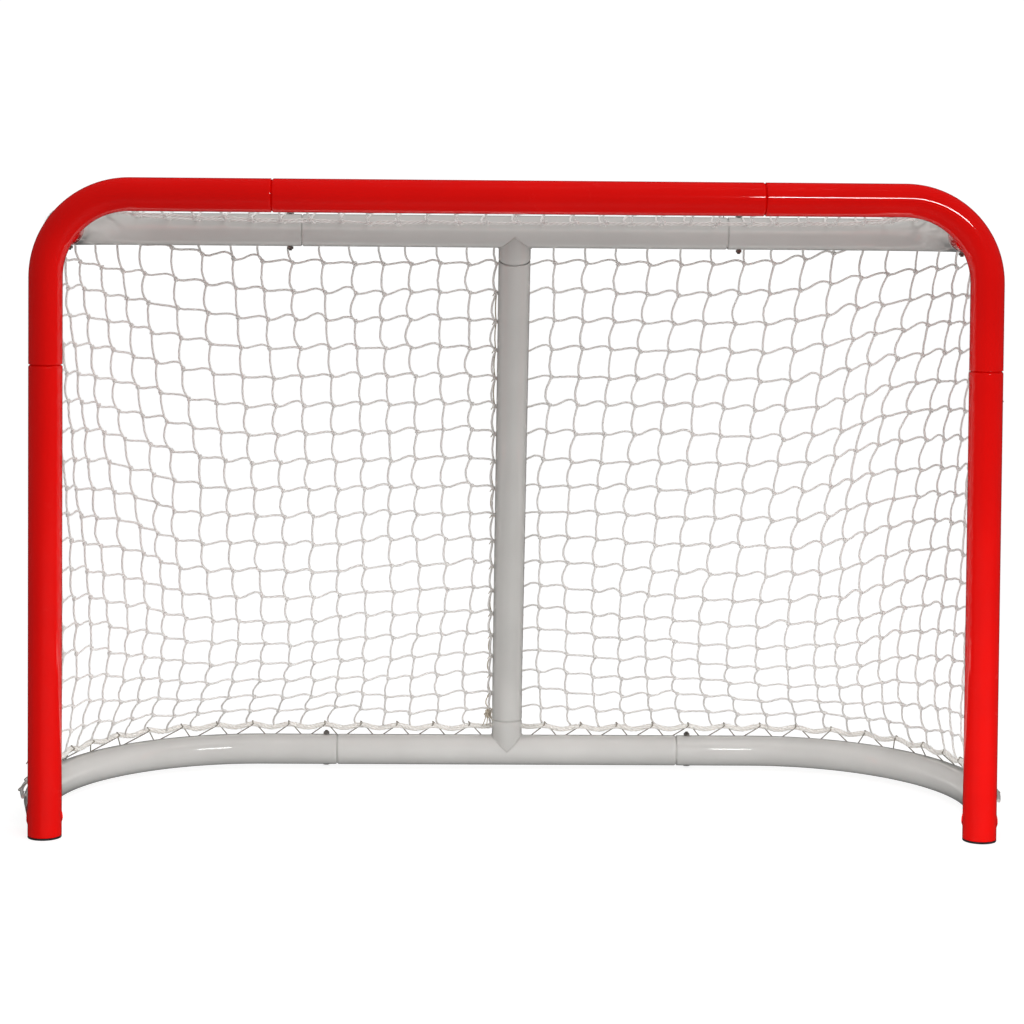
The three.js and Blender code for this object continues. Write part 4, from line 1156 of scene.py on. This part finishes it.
def make_top_panel():
    """The net over the mouth's roof: tied to the front rope, resting on the rear rail all round."""
    pitch = TOP_LENGTH / HALF_TOP
    columns = int(RAIL_X / pitch)
    y_front = FRONT_ROPE[-1, 1]
    bar = FRONT_ROPE[ROPE_PEAK:][::-1]
    rows = int((RAIL_Y - y_front) / MESH)
    bend_y, rail_top = RAIL_Y - RAIL_BEND_R, RAIL_Z + RAIL_LIE

    def rope_z(x):
        return np.interp(abs(x), bar[:, 0], bar[:, 2])

    def rail_y(x):
        """Where a column meets the top of the rail."""
        across = min(max(abs(x) - arm_x, 0), RAIL_BEND_R - 1e-4)
        return bend_y + math.sqrt(RAIL_BEND_R ** 2 - across ** 2)

    def height(x, y):
        share = min(max((y - y_front) / (rail_y(x) - y_front), 0), 1)
        slack = ROOF_SAG * 4 * share * (1 - share) * (1 - (abs(x) / RAIL_X) ** 6)
        return rope_z(x) + (rail_top - rope_z(x)) * share - slack

    knots, where = {}, []
    for i in range(-columns, columns + 1):
        for j in range(rows + 1):
            x, y = i * pitch, y_front + (j + 0.5) * MESH * 0.99
            if y < rail_y(x) - 0.012:
                knots[i, j] = len(where)
                x, y = (x, y) + random.normal(0, 0.0025, 2)
                where.append(vec(x, y, height(x, y) + random.normal(0, 0.0012)))
    count = len(where)
    places, across, down = list(where), [], []

    def end_at(*place):
        places.append(vec(*place))
        return len(places) - 1

    for (i, j), k in knots.items():
        x, y = i * pitch, where[k][1]
        if (i + 1, j) in knots:
            across.append((k, knots[i + 1, j]))
        if (i, j + 1) in knots:
            down.append((knots[i, j + 1], k))
        else:
            down.append((end_at(x, rail_y(x) + 0.004, rail_top), k))
        if j == 0:
            down.append((k, end_at(x, y_front, rope_z(x) + 0.001)))
        for side in (-1, 1):
            if (i + side, j) not in knots:
                reach = arm_x + math.sqrt(max(RAIL_BEND_R ** 2 - max(y - bend_y, 0) ** 2, 0))
                across.append((k, end_at(side * reach, y, rail_top))[::side])
    places = np.array(places)
    soup = Soup()
    for pairs in (across, down):
        a, b = np.array(pairs).T
        run, rise = np.tile(LEVEL, (len(a), 1)), np.tile(BACK, (len(a), 1))
        vary = np.clip(random.normal(0.7, 0.3, len(a)), 0.2, 1.4)
        lay_strands(soup, places[a], places[b], run, rise, pairs is down, vary)
    lay_knots(soup, places[:count], np.tile(LEVEL, (count, 1)), np.tile(BACK, (count, 1)))
    soup.piece("net_top", TWINE, sharp=0)


# ---- Border ropes ----
PLY_OUT, PLY_R = 0.42, 0.60      # each ply's place and thickness, as shares of the rope's radius
FIBRE_SPACING = 0.0024
FIBRE_R = vec(0.16, 0.15, 0.13, 0.10, 0.05) * 0.001


def add_rope(soup, line, radius, pitch, plies=3):
    """Plies laid round a line, with loose fibres standing off it."""
    tangents = unit(np.gradient(line, axis=0))
    first = UP if abs(tangents[0, 2]) < 0.8 else LEVEL
    side = carried_sides(tangents[None], first)[0]
    other = np.cross(tangents, side)
    run = run_along(line)
    strands = []
    for ply in range(plies):
        angle = 2 * np.pi * (run / pitch + ply / plies)[:, None]
        strands.append(line + (side * np.cos(angle) + other * np.sin(angle)) * radius * PLY_OUT)
    thick = random.normal(PLY_R, 0.016, (plies, len(line)))
    add_tubes(soup, strands, radius * thick, 8, phase=random.uniform(0, 1, plies))
    fibres = int(run[-1] / FIBRE_SPACING)
    at = random.integers(2, len(line) - 2, fibres)
    angle = random.uniform(0, 2 * np.pi, fibres)[:, None]
    out = side[at] * np.cos(angle) + other[at] * np.sin(angle)
    length = random.uniform(0.35, 1.1, fibres)[:, None] * radius
    lean = tangents[at] * random.normal(0, 1.0, (fibres, 1)) + random.normal(0, 0.35, (fibres, 3))
    start = line[at] + out * radius * 0.85
    middle = start + out * length * 0.5 + lean * length * 0.6
    tip = start + out * length * 0.7 + lean * length * 1.7
    lines = np.stack([start, (start + middle) / 2, middle, (middle + tip) / 2, tip], 1)
    lines[:, 1] += out * length * 0.12
    add_tubes(soup, lines, FIBRE_R, 3)


def add_border(name, half, count, radius, pitch):
    """A rope along a line from the front right to the middle, carried on to the left."""
    line = np.vstack([half[:-1], half[::-1] * vec(-1, 1, 1)])
    soup = Soup()
    add_rope(soup, spaced(line, count), radius, pitch)
    soup.piece(name, ROPE, sharp=0)


def make_ropes():
    add_border("front_border_rope", FRONT_ROPE, 1500, FRONT_ROPE_R, 0.018)
    at = np.linspace(HEM_LENGTH, 0, 620)
    hem = hem_point(at, 1)
    hem += np.cumsum(random.normal(0, 0.00006, hem.shape), axis=0) * np.minimum(at / 0.1, 1)[:, None]
    add_border("base_border_rope", hem, 1100, HEM_R, 0.021)


# ---- Lacing ----
LACE_TURN = math.radians(75)     # to each side of the far point of a turn round a rod or a rope
LACE_ADVANCE = 0.0022            # along the rod meanwhile
TIED_TURNS, TIED_R, TIED_LENGTH = 2.6, 0.0026, 0.0075
TAIL_CURL = 0.002


def add_cord(soup, line):
    add_tubes(soup, line, CORD_R, 7)


def add_knot(soup, place, along, size=1.0):
    """A small tied knot: a few tight turns round the cord, and two tails."""
    along = unit(along)
    side = unit(np.cross(along, BACK))
    other = np.cross(along, side)
    t = np.linspace(0, 1, 34)[:, None]
    angle = 2 * np.pi * TIED_TURNS * t
    reach = TIED_R * size * (0.75 + 0.35 * np.sin(np.pi * t))
    around = reach * (side * np.cos(angle) + other * np.sin(angle))
    line = place + along * (t - 0.5) * TIED_LENGTH * size + around
    add_tubes(soup, line, CORD_R * 0.95 * size, 6)
    tail = np.linspace(0, 1, 8)[:, None]
    for way in (1, -1):
        start = place + side * 0.002 * way
        end = start + (side * way * 0.006 - UP * 0.009 + other * 0.003) * size
        curl = other * TAIL_CURL * np.sin(np.pi * tail)
        add_tubes(soup, start * (1 - tail) + end * tail + curl, CORD_R * 0.8, 5)


def lace(soup, lines, radii, start, turns, knots):
    """A cord wound round two lines in turn. Each line gives a point at a distance; knots are (way, size)."""
    points = []
    for k in range(2 * turns + 1):
        here_at, there_at = lines[::1 if k % 2 == 0 else -1]
        s = start + k / 2 * LACE_PITCH
        here = here_at(s)
        along = unit(here_at(s + 0.004) - here_at(s - 0.004))
        away = here - there_at(s)
        away = unit(away - along * (away @ along))
        round_ = np.cross(along, away) * (1 if k % 2 == 0 else -1)
        reach = radii[k % 2] + CORD_R + 0.0003
        for step in (-1, 0, 1):
            angle = step * LACE_TURN
            around = away * math.cos(angle) + round_ * math.sin(angle)
            points.append(here + reach * around + along * step * LACE_ADVANCE)
    cord = smooth_line(points, 6)
    add_cord(soup, cord)
    for end, (way, size) in zip((cord[0], cord[-1]), knots):
        add_knot(soup, end, way, size)


def make_base_lacing():
    """Two cords from the posts to beside the centre post, wound round the hem and the rod below it."""
    start = 0.038
    turns = int((HEM_LENGTH - 0.06 - start) / LACE_PITCH)
    soup = Soup()
    for side in (1, -1):
        def rod_at(s):
            point, normal = along_curve(BASE_CURVE, s)
            x, y = point + normal * BASE_ROD_OUT
            return vec(side * x, y, BASE_Z + BASE_ROD_LIFT)

        def hem_at(s):
            return hem_point(np.array(float(s)), side)

        knots = (LEVEL, 1.1), (BACK, 1.1)
        lace(soup, (rod_at, hem_at), (ROD_R, HEM_R - HEM_BITE), start, turns, knots)
    soup.piece("base_lacing", CORD, sharp=0)


def lace_straight(name, material, foot, way, start, turns):
    """A cord that ties the front rope to a straight rod through foot."""
    soup = Soup()
    rod_and_rope = (lambda s: foot + way * s), (lambda s: foot + way * s + BACK * ROPE_BEHIND)
    lace(soup, rod_and_rope, (ROD_R, FRONT_ROPE_R), start, turns, ((way, 1.0), (way, 1.0)))
    soup.piece(name, material, sharp=0)


def make_front_lacing():
    """Cords that tie the front rope to the rods behind the crossbar and the posts."""
    turns = int(2 * (CROSS_ROD_END - 0.014) / LACE_PITCH)
    foot = vec(0, FRONT_Y + CROSS_ROD_BACK, CROSS_Z - CROSS_ROD_DROP)
    lace_straight("crossbar_lacing", CORD, foot, LEVEL, -turns * LACE_PITCH / 2, turns)
    turns = int((POST_ROD_HIGH - POST_ROD_LOW - 0.03) / LACE_PITCH)
    for name, side in BOTH:
        foot = vec(side * (POST_X + POST_ROD_OUT), FRONT_Y + POST_ROD_BACK, 0)
        lace_straight(f"{name}_post_lacing", TAN_CORD, foot, UP, POST_ROD_LOW + 0.02, turns)


def make_centre_lacing(net):
    """A cord down the left of the centre post that ties each row of the net to it, ending in a knot."""
    reach = TUBE_R + CORD_R + 0.0012
    heights = [float(net.places[net.index[row, 0]][2]) for row in range(2, ROWS)]
    points = []
    for k, z in enumerate(heights):
        points.append(vec(-reach, float(post_y(z)) + POST_LACE_BACK, z))
        if k + 1 == len(heights):
            break
        # The cord hangs slacker between the lower rows.
        bulge = (0.002 + 0.006 * k / (len(heights) - 1)) * random.uniform(0.5, 1.3)
        for share, much in ((0.3, 0.8), (0.6, 1.0), (0.85, 0.5)):
            mid = z + (heights[k + 1] - z) * share
            points.append(vec(-reach - bulge * much, float(post_y(mid)) + 0.017 + 0.003 * much, mid))
    soup = Soup()
    add_cord(soup, smooth_line(points, 5))
    # Part of a turn of cord round the back of the post holds each row.
    angles = np.radians(np.linspace(152, 20, 16))
    for z in heights:
        add_knot(soup, vec(-reach - 0.0012, float(post_y(z)) + POST_LACE_BACK, z), UP, 0.62)
        behind = post_y(z) + reach * np.sin(angles) / math.cos(SLANT)
        wrap = np.column_stack([reach * np.cos(angles), behind, np.full(16, z - 0.002)])
        add_tubes(soup, wrap, CORD_R * 0.8, 6)
    for turn in range(3):
        place = points[-1] + vec(-0.003 - 0.002 * turn, 0.001 * turn, -0.004 * turn)
        add_knot(soup, place, vec(1, 0.3, 0.6 - turn), 1.5)
    soup.piece("centre_post_lacing", PALE_CORD, sharp=0)


# ---- Floor and light ----
FLOOR_HALF = 40.0
WORLD_LEVEL = 0.58
WORLD_SLOPE = (0.03, 0.45, 0.07)     # brighter behind, above and to the right
MIRRORED_ROOM = 0.03                 # the room as the paint mirrors it
BACKDROP = 1.05                      # the room as the camera sees it


def make_floor():
    mesh = bpy.data.meshes.new("floor")
    corners = [(x * FLOOR_HALF, y * FLOOR_HALF, 0) for x, y in ((-1, -1), (1, -1), (1, 1), (-1, 1))]
    mesh.from_pydata(corners, [], [(0, 1, 2, 3)])
    mesh.materials.append(floor_material("pale_floor"))
    floor = bpy.data.objects.new("floor", mesh)
    bpy.context.scene.collection.objects.link(floor)
    floor.visible_diffuse = floor.visible_glossy = False


def mix_value(tree, share, first, second):
    """First where share is 0, second where it is 1."""
    node = tree.nodes.new("ShaderNodeMix")
    for key, value in (("Factor", share), ("A", first), ("B", second)):
        join(tree, node.inputs[key], value)
    return node.outputs["Result"]


def make_world():
    """A studio that is bright behind, above and to the right, and white wherever the camera sees it."""
    world = bpy.data.worlds.new("studio")
    bpy.context.scene.world = world
    world.use_nodes = True
    tree = world.node_tree
    place = tree.nodes.new("ShaderNodeTexCoord")
    slope = tree.nodes.new("ShaderNodeVectorMath")
    slope.operation = "DOT_PRODUCT"
    join(tree, slope.inputs[0], place.outputs["Generated"])
    join(tree, slope.inputs[1], WORLD_SLOPE)
    total = tree.nodes.new("ShaderNodeMath")
    total.operation = "ADD"
    join(tree, total.inputs[0], slope.outputs["Value"])
    join(tree, total.inputs[1], WORLD_LEVEL)
    ray = tree.nodes.new("ShaderNodeLightPath")
    level = mix_value(tree, ray.outputs["Is Glossy Ray"], total.outputs[0], MIRRORED_ROOM)
    level = mix_value(tree, ray.outputs["Is Camera Ray"], level, BACKDROP)
    background = tree.nodes["Background"]
    join(tree, background.inputs["Color"], (1, 1, 1, 1))
    join(tree, background.inputs["Strength"], level)


def softbox(name, place, target, width, height, power, shows=False):
    """An area lamp aimed at a point. Only one that shows is mirrored in the paint."""
    data = bpy.data.lights.new(name, "AREA")
    data.shape = "RECTANGLE"
    data.size, data.size_y = width, height
    data.energy = power
    lamp = bpy.data.objects.new(name, data)
    bpy.context.scene.collection.objects.link(lamp)
    lamp.location = place
    lamp.rotation_mode = "QUATERNION"
    lamp.rotation_quaternion = (Vector(target) - Vector(place)).to_track_quat("-Z", "Y")
    lamp.visible_camera = False
    lamp.visible_glossy = shows


def make_lamps():
    softbox("overhead", (0.4, -0.9, 3.4), (0, 0, 0.4), 1.3, 0.8, 19.5)
    softbox("hard_key", (1.4, -5.2, 2.75), (0.2, 0, 1.0), 0.14, 0.14, 16.5)
    softbox("right_key", (3.4, -2.4, 2.6), (0.2, 0, 0.6), 1.6, 1.6, 8)
    softbox("left_fill", (-3.4, -3.4, 2.0), (0, 0, 0.5), 1.6, 2.0, 5)
    softbox("streak", (2.2, -5.2, 2.45), (0.5, 0, 1.0), 2.4, 0.30, 31, shows=True)
    softbox("floor_bounce", (0.45, -1.05, 0.03), (0.4, 0.3, 0.8), 2.8, 0.8, 12)
    softbox("sill", (0, -0.28, 0.07), (0, 0.32, 0.02), 1.6, 0.06, 1.1)


make_camera()
make_tubes()
make_stubs()
make_caps()
make_fasteners()
make_rods()
hung_net = make_net()
make_top_panel()
make_ropes()
make_base_lacing()
make_front_lacing()
make_centre_lacing(hung_net)
make_floor()
make_world()
make_lamps()
